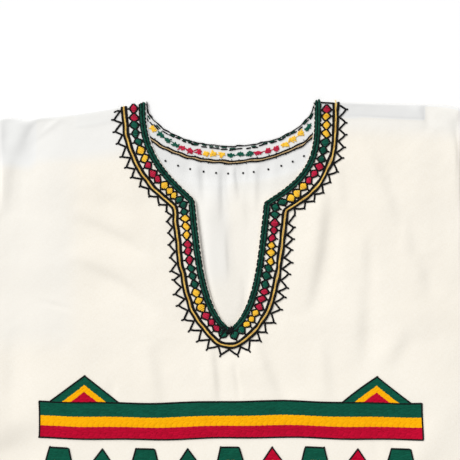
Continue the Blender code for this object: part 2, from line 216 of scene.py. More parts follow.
# The shoulder seams that show through: side, depth, from x to x, and how strongly.
SHOULDER_SEAMS = (
    (LEFT, 0.0180, 0.100, 0.226, 1.0),
    (RIGHT, 0.0175, 0.128, 0.180, 0.45),
)

# The cooler stretch under each shoulder: side, how strong, and how deep.
SHOULDER_SHADES = ((LEFT, 0.26, 0.046), (RIGHT, 0.42, 0.066))


def smooth(value: Points) -> Points:
    """0 below 0, 1 above 1 and an S-curve between."""
    value = np.clip(value, 0.0, 1.0)
    return value * value * (3 - 2 * value)


def fold_height(folds: Sequence[Fold], points: Points) -> Points:
    """Sums the folds.

    Args:
        folds: the folds to add up.
        points: rows of x and y.

    Returns:
        The height at each point.
    """
    total = np.zeros(len(points))
    for fold in folds:
        run = np.subtract(fold.end, fold.start)
        off = points - np.array(fold.start)
        along = off @ run / (run @ run)
        across = (run[0] * off[:, 1] - run[1] * off[:, 0]) / math.hypot(*run)
        across = across - fold.bow * 4 * along * (1 - along)
        wave = np.sin(np.pi * np.clip(along, 0.0, 1.0)) ** 0.8
        ratio = across / fold.width
        shape = np.tanh(ratio) * np.exp(-((ratio / 4) ** 2)) if fold.crease else np.exp(-(ratio**2))
        total += fold.rise * wave * shape
    return total


def ripple(points: Points, seed: int, waves: int, shortest: float, longest: float) -> Points:
    """Adds up gentle waves in all directions, as the cloth's own unevenness.

    Args:
        points: rows of x and y.
        seed: of the directions and lengths.
        waves: how many.
        shortest: wavelength.
        longest: wavelength.

    Returns:
        A height at each point, about -1 to 1.
    """
    chance = random.Random(seed)
    total = np.zeros(len(points))
    for _ in range(waves):
        length = shortest * (longest / shortest) ** chance.random()
        turn = chance.uniform(0, math.pi)
        phase = chance.uniform(0, 2 * math.pi)
        ahead = points @ np.array([math.cos(turn), math.sin(turn)])
        total += np.sin(ahead * 2 * math.pi / length + phase)
    return total / math.sqrt(waves)


def distance_to(points: Points, line: Points) -> Points:
    """Shortest distance from each point to a polyline.

    Args:
        points: rows of x and y.
        line: the polyline's points.

    Returns:
        The distances.
    """
    best = np.full(len(points), np.inf)
    for first, second in zip(line, line[1:]):
        run = second - first
        share = np.clip((points - first) @ run / max(run @ run, 1e-12), 0.0, 1.0)
        gap = points - first - share[:, None] * run
        best = np.minimum(best, np.hypot(gap[:, 0], gap[:, 1]))
    return best


@dataclass(frozen=True)
class Pattern:
    """The tunic's cut as lines, in cutting coordinates."""

    neck_half: float = 0.0972
    neck_depth: float = 0.261
    corner_sweep: float = 1.2
    slit_taper: float = 0.40
    slit_sweep: float = 4.75
    slit_end: float = 0.70
    nip_run: float = 0.020
    back_neck_half: float = 0.0955
    back_neck_depth: float = 0.051
    armhole_depth: float = 0.315
    underarm_half: float = 0.288
    hem_half: float = 0.318
    length: float = 0.820
    hem_rise: float = 0.006
    dent_start: float = 0.72
    lip_power: float = 12.0
    rim: float = 0.0010

    def neck_at(self, side: Side, depth: Points) -> Points:
        """The front neck edge's distance from the middle at each depth.

        Args:
            side: the side of the neck.
            depth: below the shoulder points.

        Returns:
            The distances.
        """
        sweep = (1 - np.clip(depth / side.slit_top, 0, 1) ** side.neck_sweep) ** self.corner_sweep
        upper = side.slit_half + (self.neck_half - side.slit_half) * sweep
        share = np.clip((depth - side.slit_top) / (self.neck_depth - side.slit_top), 0, 1)
        lower = side.slit_half * (1 - self.slit_taper * share) * (1 - share**self.slit_sweep) ** self.slit_end
        return np.where(depth <= side.slit_top, upper, lower)

    def in_neck(self, points: Points) -> Points:
        """Whether each point lies in the front's neck opening.

        Args:
            points: rows of x and y.

        Returns:
            True or false for each.
        """
        x, depth = np.abs(points[:, 0]), -points[:, 1]
        width = np.where(points[:, 0] > 0, self.neck_at(LEFT, depth), self.neck_at(RIGHT, depth))
        return (x < width) & (depth < self.neck_depth)

    def band_offset(self, side: Side, depths: Points, offset: float, at_end: float) -> Points:
        """How far out from the neck edge a row of the band lies at each depth.

        Args:
            side: the side of the neck.
            depths: how deep each point of the edge is.
            offset: how far out the row is in general.
            at_end: how far out it is at the slit's round end.

        Returns:
            The row's offset at each depth.
        """
        closing = smooth((depths / self.neck_depth - 0.88) / 0.12)
        below = depths > side.slit_top
        nip = np.where(below, side.nip_below, side.nip)
        nipped = nip * np.exp(-(((depths - side.slit_top) / self.nip_run) ** 2))
        spare = side.spare * below * (1 - closing)
        return (offset + (at_end - offset) * closing) * (1 - nipped + spare)

    def slit_at(self, side: Side, turn: Points) -> Points:
        """Depth along the slit, turn running from 0 at its corner to 1 at its round end."""
        return side.slit_top + (self.neck_depth - side.slit_top) * np.sin(turn * np.pi / 2)

    def back_neck_at(self, depth: Points) -> Points:
        """Half the width of the back neck at each depth."""
        return self.back_neck_half * np.sqrt(np.clip(1 - (depth / self.back_neck_depth) ** 2, 0, 1))

    def shoulder(self, side: Side, x: Points) -> Points:
        """Level of the shoulder line at distances x from the middle.

        Args:
            side: the side of the body.
            x: the distances.

        Returns:
            The levels.
        """
        share = np.clip((np.abs(x) - self.neck_half) / (side.tip_half - self.neck_half), 0, 1)
        drop = (side.tip_drop - side.lip) * (1 - (1 - share) ** side.sag) + side.lip * share**self.lip_power
        turn = np.clip(share - self.dent_start, 0, 1) / (1 - self.dent_start) * 2 * np.pi
        return side.neck_rise - drop - side.dent * np.sin(turn)

    def edge_at(self, side: Side, y: Points) -> Points:
        """The armhole and side seam's distance from the middle at levels y.

        Args:
            side: the side of the body.
            y: the levels.

        Returns:
            The distances.
        """
        share = np.clip((side.tip_y - y) / (side.tip_y + self.armhole_depth), 0, 1)
        flare = (self.underarm_half - side.tip_half) * share**2.2
        armhole = side.tip_half + flare - side.armhole_hollow * np.sin(np.pi * share)
        foot = self.length - self.hem_rise - self.armhole_depth
        down = np.clip((-self.armhole_depth - y) / foot, 0, 1)
        seam = self.underarm_half + (self.hem_half - self.underarm_half) * down**0.9
        return np.where(y > -self.armhole_depth, armhole, seam)

    def hem(self, x: Points) -> Points:
        """Level of the hem at distances x from the middle."""
        return -self.length + self.hem_rise * (x / self.hem_half) ** 2

    def shoulder_line(self, side: Side) -> Points:
        """From the shoulder point to the tip."""
        x = np.linspace(self.neck_half, side.tip_half, 33)
        return np.column_stack([side.out * x, self.shoulder(side, x)])

    def armhole_line(self, side: Side) -> Points:
        """From the shoulder tip to the underarm."""
        y = np.linspace(side.tip_y, -self.armhole_depth, 21)
        return np.column_stack([side.out * self.edge_at(side, y), y])

    def side_line(self, side: Side) -> Points:
        """From the underarm to the hem's corner."""
        y = np.linspace(-self.armhole_depth, -self.length + self.hem_rise, 21)
        return np.column_stack([side.out * self.edge_at(side, y), y])

    def hem_line(self) -> Points:
        """From the wearer's left corner to the right one."""
        x = np.linspace(self.hem_half, -self.hem_half, 33)
        return np.column_stack([x, self.hem(x)])

    def closed_edges(self) -> list[Points]:
        """The edges where the front meets the back.

        Returns:
            Their lines.
        """
        lines = [self.hem_line()]
        for side in (LEFT, RIGHT):
            lines += [self.shoulder_line(side), self.side_line(side)]
        return lines


@dataclass
class Line:
    """A line on the cloth that can be walked by distance."""

    points: Points
    walked: Points = field(init=False)

    def __post_init__(self) -> None:
        """Measures the line."""
        steps = np.hypot(*np.diff(self.points, axis=0).T)
        self.walked = np.concatenate([[0.0], np.cumsum(steps)])

    @property
    def length(self) -> float:
        """Length from end to end."""
        return float(self.walked[-1])

    def at(self, distance: float) -> Points:
        """The point at a distance along the line."""
        return np.array([np.interp(distance, self.walked, self.points[:, axis]) for axis in (0, 1)])

    def ahead(self, distance: float, reach: float = 1.5 * MM) -> Points:
        """The direction of the line there, of length 1."""
        run = self.at(min(distance + reach, self.length)) - self.at(max(distance - reach, 0.0))
        return run / max(math.hypot(*run), 1e-9)

    def aside(self, distance: float) -> Points:
        """The direction to the right of the line there."""
        ahead = self.ahead(distance)
        return np.array([ahead[1], -ahead[0]])

    def even(self, step: float) -> "Line":
        """The same line with points evenly spaced, about step apart."""
        count = max(2, round(self.length / step) + 1)
        return Line(np.array([self.at(d) for d in np.linspace(0, self.length, count)]))

    def wavered(self, reach: float, seed: int) -> "Line":
        """The same line with a slow sideways waver, as a hand guides the needle.

        Args:
            reach: of the waver, about.
            seed: of its waves.

        Returns:
            The new line.
        """
        chance = random.Random(seed)
        waves = [(chance.uniform(14, 60) * MM, chance.uniform(0, 2 * math.pi)) for _ in range(6)]
        sway = sum(np.sin(self.walked / length * 2 * math.pi + phase) for length, phase in waves) * reach / 2
        run = np.gradient(self.points, axis=0)
        run /= np.hypot(run[:, 0], run[:, 1])[:, None]
        return Line(self.points + np.column_stack([run[:, 1], -run[:, 0]]) * sway[:, None])

    def eased(self, window: int) -> "Line":
        """The same line with its corners rounded over a number of points.

        Args:
            window: how many points a corner takes.

        Returns:
            The new line.
        """
        if window < 2:
            return self
        ends = np.arange(window, 0, -1)[:, None]
        first = self.points[0] - (self.points[1] - self.points[0]) * ends
        last = self.points[-1] + (self.points[-1] - self.points[-2]) * ends[::-1]
        padded = np.vstack([first, self.points, last])
        bell = np.hanning(2 * window + 1)
        bell /= bell.sum()
        return Line(np.column_stack([np.convolve(padded[:, axis], bell, "valid") for axis in (0, 1)]))


def moved_out(edge: Points, offsets: Points) -> Points:
    """An edge walked down the +X half, moved out into the cloth by its own offsets.

    Args:
        edge: the edge's points.
        offsets: how far out each goes.

    Returns:
        The moved points.
    """
    run = np.gradient(edge, axis=0)
    if edge[-1, 0] < 1e-6:
        run[-1] = (-1.0, 0.0)
    run /= np.hypot(run[:, 0], run[:, 1])[:, None]
    return edge + np.column_stack([-run[:, 1], run[:, 0]]) * offsets[:, None]


def front_neck_line(pattern: Pattern, offset: float, at_end: float, step: float = 0.5 * MM) -> Line:
    """The front neck edge moved out into the cloth.

    Args:
        pattern: the cut.
        offset: how far out, in general.
        at_end: how far out at the slit's round end.
        step: spacing of the points.

    Returns:
        The line, from the wearer's right shoulder down and up to the left one.
    """
    halves = []
    for side in (RIGHT, LEFT):
        above = np.linspace(-0.004, side.slit_top, 160)
        beside = pattern.slit_at(side, np.linspace(0, 1, 160))
        upper, lower = (
            moved_out(
                np.column_stack([pattern.neck_at(side, depths), -depths]),
                pattern.band_offset(side, depths, offset, at_end),
            )
            for depths in (above, beside)
        )
        past = upper[:, 0] - np.interp(-upper[:, 1], -lower[:, 1], lower[:, 0])
        crossed = np.flatnonzero(past < 0)
        if offset > 0 and len(crossed):
            upper = upper[: crossed[0]]
            lower = lower[lower[:, 1] < upper[-1, 1]]
        half = np.vstack([upper, lower])
        kept = half[half[:, 1] < pattern.shoulder(side, half[:, 0]) - SHOULDER_INSET]
        halves.append(kept * (side.out, 1.0))
    whole = Line(np.vstack([halves[0], halves[1][-2::-1]])).even(step)
    return whole.eased(round((0.4 * MM + 0.2 * offset) / step))


def back_neck_line(pattern: Pattern, offset: float, step: float = 0.5 * MM) -> Line:
    """The back neck edge moved into the cloth, from the wearer's right to the left.

    Args:
        pattern: the cut.
        offset: how far in.
        step: spacing of the points.

    Returns:
        The line.
    """
    turn = np.linspace(math.pi, 0, 181)
    half, depth = pattern.back_neck_half, pattern.back_neck_depth
    edge = np.column_stack([half * np.cos(turn), -depth * np.sin(turn)])
    away = np.column_stack([depth * np.cos(turn), -half * np.sin(turn)])
    away /= np.hypot(away[:, 0], away[:, 1])[:, None]
    moved = edge + away * offset
    x = moved[:, 0]
    top = np.where(x > 0, pattern.shoulder(LEFT, x), pattern.shoulder(RIGHT, x))
    return Line(moved[moved[:, 1] < top - BACK_SHOULDER_INSET]).even(step)


@dataclass
class Drape:
    """How high each layer of the laid tunic stands over the surface."""

    pattern: Pattern
    wall: float = 0.0012
    gap: float = 0.0003
    loft: float = 0.0024
    loft_run: float = 0.045
    neck_loft: float = 0.0010
    neck_run: float = 0.055
    sleeve_loft: float = 0.0022
    cloth: float = 0.00055
    back_under: float = 0.00012
    seam_drop: float = 0.0013
    seam_run: float = 0.0010
    groove_run: float = 0.0020
    neck_roll: float = 0.0005
    doubled_step: float = 0.00055
    doubled_edge: float = 0.0012
    hem_turn: float = 0.020
    lowest: float = -0.0005
    # Greys on the front: painted shade at the shoulder tip, a cooler strip, and an edge grey that is partly
    # painted shade.
    painted_tip_shade: float = 0.72
    strip_shade: float = 0.16
    seam_shade: float = 0.9

    def __post_init__(self) -> None:
        """Draws the edges that the heights depend on."""
        pattern = self.pattern
        self.neck_edge = front_neck_line(pattern, 0.0, 0.0, 3 * MM).points
        self.back_edge = back_neck_line(pattern, 0.0, 3 * MM).points
        self.closed = pattern.closed_edges()
        self.armholes = [pattern.armhole_line(side) for side in (LEFT, RIGHT)]

    def to_shut(self, points: Points) -> Points:
        """Distance from each point to the nearest edge where front and back meet."""
        return np.min([distance_to(points, line) for line in self.closed], axis=0)

    def front(self, points: Points) -> Points:
        """Height of the front's upper face.

        Args:
            points: rows of x and y.

        Returns:
            The heights.
        """
        shut = self.to_shut(points)
        armholes = [distance_to(points, line) for line in self.armholes]
        seam = np.min([shut, *armholes], axis=0)
        neck = distance_to(points, self.neck_edge)
        risen = 1 - np.exp(-((seam / self.loft_run) ** 2))
        loft = (self.neck_loft + (self.loft - self.neck_loft) * smooth(neck / self.neck_run)) * risen
        free = smooth(seam / 0.030) * smooth((neck - 0.034) / 0.016)
        near = smooth(seam / 0.006) * smooth((neck - 0.026) / 0.010)
        height = np.maximum(0.0, loft + fold_height(MAIN_FOLDS, points) * free)
        height += fold_height(FRONT_CREASES, points) * near
        height += ripple(points, 11, 14, 0.045, 0.150) * 0.30 * MM * near
        height += ripple(points, 12, 18, 0.012, 0.034) * 0.045 * MM * near
        height = np.maximum(height, self.lowest) + self.gap + 2 * self.wall
        height -= self.neck_roll * (1 - smooth(neck / 0.006))
        height -= self.seam_drop * (1 - smooth(shut / self.seam_run))
        for side, armhole in zip((LEFT, RIGHT), armholes):
            height -= side.groove * np.exp(-((armhole / self.groove_run) ** 2))
        return height + self.doubled_step * self.allowance(points) + fold_height(EDGE_LIFTS, points)

    def allowance(self, points: Points) -> Points:
        """How far each point of the front lies on doubled cloth, from 0 to 1.

        Args:
            points: rows of x and y.

        Returns:
            The shares.
        """
        shade = np.zeros(len(points))
        for side, deep, near, far, strength in SHOULDER_SEAMS:
            x = points[:, 0] * side.out
            down = self.pattern.shoulder(side, x) - points[:, 1]
            between = smooth((x - near) / 0.003) * smooth((far - x) / 0.004)
            shade = np.maximum(shade, smooth((deep - down) / self.doubled_edge) * between * strength)
        hem = points[:, 1] - self.pattern.hem(points[:, 0])
        return np.maximum(shade, smooth((self.hem_turn - hem) / self.doubled_edge))

    def front_shade(self, points: Points) -> Points:
        """How grey the front looks: cloth laid double, cooler stretches, painted shade at the wearer's right
        shoulder tip, and partly painted shade along the closed edges.

        Args:
            points: rows of x and y.

        Returns:
            A share for each point.
        """
        cool = np.zeros(len(points))
        for side, strength, deep in SHOULDER_SHADES:
            down = self.pattern.shoulder(side, points[:, 0]) - points[:, 1]
            cool = np.maximum(cool, strength * smooth((deep - down) / 0.024) * (points[:, 0] * side.out > 0))
        x, y = points.T
        # Painted shade of the folds at the wearer's right shoulder tip.
        tip = self.painted_tip_shade * smooth((-0.205 - x) / 0.030) * smooth((0.070 - down) / 0.030)
        strip = self.strip_shade * smooth((-0.165 - x) / 0.030) * smooth((y + 0.300) / 0.040)
        # Along the closed edges the grey is partly cloth laid double at the seams and partly painted shade on
        # the lit roll of the edge.
        seam = self.seam_shade * smooth((0.0046 - self.to_shut(points)) / 0.0036)
        return np.max([self.allowance(points), cool, tip, strip, seam], axis=0)

    def back_shade(self, points: Points) -> Points:
        """How grey the back looks: a little grey all over, painted shade below the neck's edge, and more
        painted shade on the wearer's right half where the open neck shows it.

        Args:
            points: rows of x and y.

        Returns:
            A share for each point.
        """
        edge = distance_to(points, self.back_edge)
        # Painted shade of the folds and of the front's edge on the wearer's right half of the back. The
        # back's underside shows it too.
        left = smooth((0.006 - points[:, 0]) / 0.016) * smooth((0.225 + points[:, 1]) / 0.040)
        # Painted shade in a band below the back neck's edge, under the band's reverse.
        near = 0.26 * smooth((0.075 - edge) / 0.045) + 0.34 * smooth((0.048 - edge) / 0.016)
        return 0.13 + 0.17 * left + near

    def back(self, points: Points) -> Points:
        """Height of the back's upper face."""
        return self.back_under_at(points) + self.cloth + self.back_relief(points)

    def back_relief(self, points: Points) -> Points:
        """Soft folds of the back where the neck shows it.

        Args:
            points: rows of x and y.

        Returns:
            The relief's height at each point.
        """
        edge = distance_to(points, self.back_edge)
        inside = distance_to(points, self.neck_edge) * self.pattern.in_neck(points)
        free = smooth((edge - 0.020) / 0.014)
        x = points[:, 0]
        gathers = np.sin(x / 0.018 * 2 * np.pi + 3 * np.sin(x / 0.031)) * 0.30 * MM
        gathers = gathers * smooth((0.062 - edge) / 0.034)
        raised = smooth(inside / 0.008) * (0.20 * MM + fold_height(BACK_CREASES, points) + gathers)
        lean = 0.30 * MM * smooth((x - 0.004) / 0.028) * smooth((edge - 0.055) / 0.020)
        return np.maximum(0.45 * MM + free * (raised + lean), 0.0)

    def back_under_at(self, points: Points) -> Points:
        """Height of the back's underside, which clears the stitches round its neck."""
        edge = distance_to(points, self.back_edge)
        return self.back_under + 0.40 * MM * smooth((0.055 - edge) / 0.012)

    def sleeve_rise(self, spots: Points, cuff: float) -> Points:
        """How far a sleeve's upper layer is raised.

        Args:
            spots: rows of the share out from the armhole and the share down from the overarm.
            cuff: the cuff's flat width.

        Returns:
            The rise at each spot.
        """
        along, across = spots[:, 0], spots[:, 1]
        seam = np.minimum(np.minimum(across, 1 - across), along * 1.2) * cuff
        lofted = self.sleeve_loft * (1 - np.exp(-((seam / self.loft_run) ** 2)))
        waves = ripple(spots * 0.27, 13, 14, 0.040, 0.120) * 0.22 * MM
        fine = ripple(spots * 0.27, 14, 16, 0.012, 0.030) * 0.04 * MM
        return lofted + (fold_height(SLEEVE_FOLDS, spots) + waves + fine) * smooth(seam / 0.030)


def linear(value: str) -> tuple[float, float, float, float]:
    """An sRGB hex colour as linear light."""
    parts = [int(value[i : i + 2], 16) / 255 for i in (0, 2, 4)]
    return (*[p / 12.92 if p <= 0.04045 else ((p + 0.055) / 1.055) ** 2.4 for p in parts], 1.0)


def add_node(
    tree: bpy.types.NodeTree,
    kind: str,
    settings: Optional[dict] = None,
    values: Optional[dict] = None,
    links: Optional[dict] = None,
) -> bpy.types.Node:
    """Adds a node.

    Args:
        tree: where it goes.
        kind: Blender's name of the node type.
        settings: attributes of the node.
        values: values of its inputs, by name or number.
        links: outputs that feed its inputs, by name or number.

    Returns:
        The node.
    """
    node = tree.nodes.new(kind)
    for key, value in (settings or {}).items():
        setattr(node, key, value)
    for key, value in (values or {}).items():
        node.inputs[key].default_value = value
    for key, socket in (links or {}).items():
        tree.links.new(socket, node.inputs[key])
    return node


def ramp(
    tree: bpy.types.NodeTree, source: bpy.types.NodeSocket, low: float, high: float, top: float = 1.0
) -> bpy.types.NodeSocket:
    """Turns a value that runs from low to high into one that runs from 0 to top.

    Args:
        tree: where the node goes.
        source: the value.
        low: what becomes 0.
        high: what becomes top.
        top: the largest result.

    Returns:
        The new value.
    """
    values = {"From Min": low, "From Max": high, "To Max": top}
    return add_node(tree, "ShaderNodeMapRange", values=values, links={"Value": source}).outputs["Result"]


def tinted(
    tree: bpy.types.NodeTree, share: bpy.types.NodeSocket, ground: str | bpy.types.NodeSocket, shade: str
) -> bpy.types.NodeSocket:
    """Mixes a shade into a ground colour.

    Args:
        tree: where the node goes.
        share: of the shade.
        ground: a hex colour, or an output that gives one.
        shade: a hex colour.

    Returns:
        The mixed colour.
    """
    values, links = {7: linear(shade)}, {0: share}
    if isinstance(ground, str):
        values[6] = linear(ground)
    else:
        links[6] = ground
    return add_node(tree, "ShaderNodeMix", {"data_type": "RGBA"}, values, links).outputs[2]


def bumped(
    tree: bpy.types.NodeTree, strength: float, distance: float, **links: bpy.types.NodeSocket
) -> bpy.types.NodeSocket:
    """A bump of a strength and a height, fed by its Height and Normal links."""
    values = {"Strength": strength, "Distance": distance}
    return add_node(tree, "ShaderNodeBump", values=values, links=links).outputs["Normal"]


def new_material(
    name: str, values: dict[str, float | tuple[float, ...]]
) -> tuple[bpy.types.Material, bpy.types.NodeTree, bpy.types.Node]:
    """Starts a material.

    Args:
        name: its name.
        values: of the shader's inputs, by name.

    Returns:
        The material, its tree and its shader.
    """
    material = bpy.data.materials.new(name)
    material.use_nodes = True
    shader = material.node_tree.nodes["Principled BSDF"]
    for key, value in values.items():
        shader.inputs[key].default_value = value
    return material, material.node_tree, shader


@dataclass(frozen=True)
class Cotton:
    """Unbleached plain-woven cotton: matt, a little uneven in thickness, with a faint nap."""

    name: str = "unbleached_woven_cotton"
    slot: str = "cotton_cloth"
    colour: str = "F7F2E8"
    slub: str = "ECE4D5"
    cool: str = "ECECEA"
    # The darker grey, for cloth laid double and for painted shade.
    doubled: str = "E1E1E0"
    roughness: float = 0.92
    thread: float = 0.0006
    slub_scales: tuple[float, float] = (260.0, 1600.0)
    weave_depth: float = 0.00012
    slub_depth: float = 0.00035

    def material(self) -> bpy.types.Material:
        """Makes the material: weave, slubs, a cooler grey, the greyer look of cloth laid double, and painted
        shade.

        Returns:
            The material.
        """
        nap = {"Sheen Weight": 0.12, "Sheen Roughness": 0.5}
        values = {"Roughness": self.roughness, "Specular IOR Level": 0.25, **nap}
        material, tree, shader = new_material(self.name, values)
        here = {"Vector": add_node(tree, "ShaderNodeTexCoord").outputs["Object"]}
        threads, slubs = [], []
        for direction, stretch in zip("XY", (self.slub_scales, self.slub_scales[::-1])):
            values = {"Scale": 0.314 / self.thread, "Distortion": 0.6}
            wave = add_node(tree, "ShaderNodeTexWave", {"bands_direction": direction}, values, here)
            threads.append(wave.outputs["Fac"])
            turned = add_node(tree, "ShaderNodeMapping", values={"Scale": (*stretch, 1.0)}, links=here)
            drawn = {"Vector": turned.outputs["Vector"]}
            noise = add_node(tree, "ShaderNodeTexNoise", values={"Scale": 1.0, "Detail": 2.0}, links=drawn)
            slubs.append(noise.outputs["Fac"])
        weave, slub = (
            add_node(tree, "ShaderNodeMath", {"operation": kind}, links=dict(enumerate(pair))).outputs[0]
            for kind, pair in (("MULTIPLY", threads), ("ADD", slubs))
        )
        patches = add_node(tree, "ShaderNodeTexNoise", values={"Scale": 9.0, "Detail": 3.0}, links=here)
        uneven = patches.outputs["Fac"]
        doubling_and_painted_shade = add_node(tree, "ShaderNodeAttribute", {"attribute_name": "doubled"}).outputs["Fac"]
        colour = tinted(tree, ramp(tree, slub, 0.75, 1.3, 0.55), self.colour, self.slub)
        colour = tinted(tree, ramp(tree, uneven, 0.3, 0.7, 0.25), colour, self.slub)
        # One attribute mixes in the cooler grey and then the darker grey. It carries cloth laid double and
        # painted shade.
        colour = tinted(tree, ramp(tree, doubling_and_painted_shade, 0.0, 0.5), colour, self.cool)
        colour = tinted(tree, ramp(tree, doubling_and_painted_shade, 0.5, 1.0), colour, self.doubled)
        tree.links.new(colour, shader.inputs["Base Color"])
        fine = bumped(tree, 0.35, self.weave_depth, Height=weave)
        tree.links.new(bumped(tree, 0.30, self.slub_depth, Height=slub, Normal=fine), shader.inputs["Normal"])
        return material


@dataclass(frozen=True)
class Thread:
    """Cotton embroidery thread: plied, matt in close fills and with a soft shine in thick satin."""

    name: str
    slot: str
    colour: str
    dark: str
    roughness: float = 0.50
    shine: float = 0.20
    twist: float = 0.0011
    ply_depth: float = 0.00018
    ply_shade: float = 0.30

    def material(self) -> bpy.types.Material:
        """Makes the material: a colour that varies by stitch, painted shade in the grooves between the plies,
        and the plies' slanting ridges.

        Returns:
            The material.
        """
        values = {"Roughness": self.roughness, "Specular IOR Level": self.shine}
        material, tree, shader = new_material(self.name, values)
        tone = add_node(tree, "ShaderNodeAttribute", {"attribute_name": "tone"}).outputs["Fac"]
        where = add_node(tree, "ShaderNodeUVMap", {"uv_map": "thread"}).outputs["UV"]
        wave, scale = {"bands_direction": "DIAGONAL"}, {"Scale": 0.628 / self.twist}
        ply = add_node(tree, "ShaderNodeTexWave", wave, scale, {"Vector": where}).outputs["Fac"]
        # The colour is darkened in the grooves between the plies as painted shade, on top of each stitch's
        # own tone.
        values, links = {1: self.ply_shade}, {0: ply, 2: tone}
        shade = add_node(tree, "ShaderNodeMath", {"operation": "MULTIPLY_ADD"}, values, links)
        colour = tinted(tree, shade.outputs["Value"], self.dark, self.colour)
        tree.links.new(colour, shader.inputs["Base Color"])
        tree.links.new(bumped(tree, 0.5, self.ply_depth, Height=ply), shader.inputs["Normal"])
        return material


class Colour(Enum):
    """The threads in the work box."""

    GREEN = Thread("dark_green_satin_thread", "green_thread", "156450", "0A3E30", 0.6, 0.12)
    BRAID = Thread("deep_green_braid_thread", "green_thread", "1C4F41", "0D2E25", 0.85, 0.04)
    YELLOW = Thread("yellow_satin_thread", "yellow_thread", "FFD142", "F0AE1A")
    RED = Thread("red_satin_thread", "red_thread", "CE1B45", "93092C")
    BLACK = Thread("black_thread", "black_thread", "141416", "060607", 0.7, 0.12)
    GOLD = Thread("gold_cord_thread", "gold_thread", "FFDA78", "B07A28")
    TAN = Thread("tan_thread", "gold_thread", "D8BC8E", "A38352")
    FLAT_GREEN = Thread("green_filling_thread", "green_thread", "105A46", "0B4837", 0.8, 0.06)
    FLAT_YELLOW = Thread("yellow_filling_thread", "yellow_thread", "FFBA08", "F9AA02", 0.8, 0.06)
    FLAT_RED = Thread("red_filling_thread", "red_thread", "C60A34", "A40526", 0.8, 0.06)
    CREAM = Thread("cream_sewing_thread", "cotton_cloth", "F3EEE2", "DED6C4", 0.7, 0.1, 0.0005)


class Materials:
    """Makes each finish once."""

    def __init__(self) -> None:
        """Starts empty."""
        self.made: dict[str, bpy.types.Material] = {}

    def of(self, finish: Cotton | Thread) -> bpy.types.Material:
        """The material of a finish.

        Args:
            finish: the finish.

        Returns:
            The material, made once.
        """
        if finish.name not in self.made:
            self.made[finish.name] = finish.material()
        return self.made[finish.name]


MATERIALS = Materials()


def placed(mesh: bpy.types.Mesh, finish: Cotton | Thread) -> bpy.types.Object:
    """Puts a piece in the scene, riding on the body.

    Args:
        mesh: the piece's mesh, named for it.
        finish: what it is made of.

    Returns:
        The piece.
    """
    mesh.materials.append(MATERIALS.of(finish))
    mesh.shade_smooth()
    piece = bpy.data.objects.new(mesh.name, mesh)
    bpy.context.scene.collection.objects.link(piece)
    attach(piece, BODY)
    LOG.info("%s: %d points", piece.name, len(mesh.vertices))
    return piece


def stitch_shape() -> tuple[Points, list[list[int]]]:
    """One stitch of length, width and height 1: a blunt-ended lens with a flattened foot.

    Returns:
        Its points, and its faces as lists of point numbers.
    """
    bm = bmesh.new()
    bmesh.ops.create_uvsphere(bm, u_segments=5, v_segments=5, radius=0.5)
    turn = np.array([[0, 0, 1], [0, 1, 0], [-1, 0, 0]])
    for vert in bm.verts:
        x, y, z = turn @ np.array(vert.co)
        round_part = math.sqrt(max(0.0, 0.25 - x * x)) or 1.0
        along = 2 * abs(x)
        fat = 0.5 * (1 - along**4) ** 0.5
        stretch = 0.5 * math.copysign(along**0.7, x)
        vert.co = (stretch, y / round_part * fat, z / round_part * fat + 0.35 * fat / 0.5)
    bmesh.ops.recalc_face_normals(bm, faces=bm.faces[:])
    bm.verts.index_update()
    points = np.array([vert.co[:] for vert in bm.verts])
    order = np.lexsort(points.round(4).T)  # the operator lists them in another order each run
    place = np.argsort(order)
    faces = sorted([int(place[vert.index]) for vert in face.verts] for face in bm.faces)
    bm.free()
    points[:, 2] *= 1 / points[:, 2].max()
    return points[order], faces


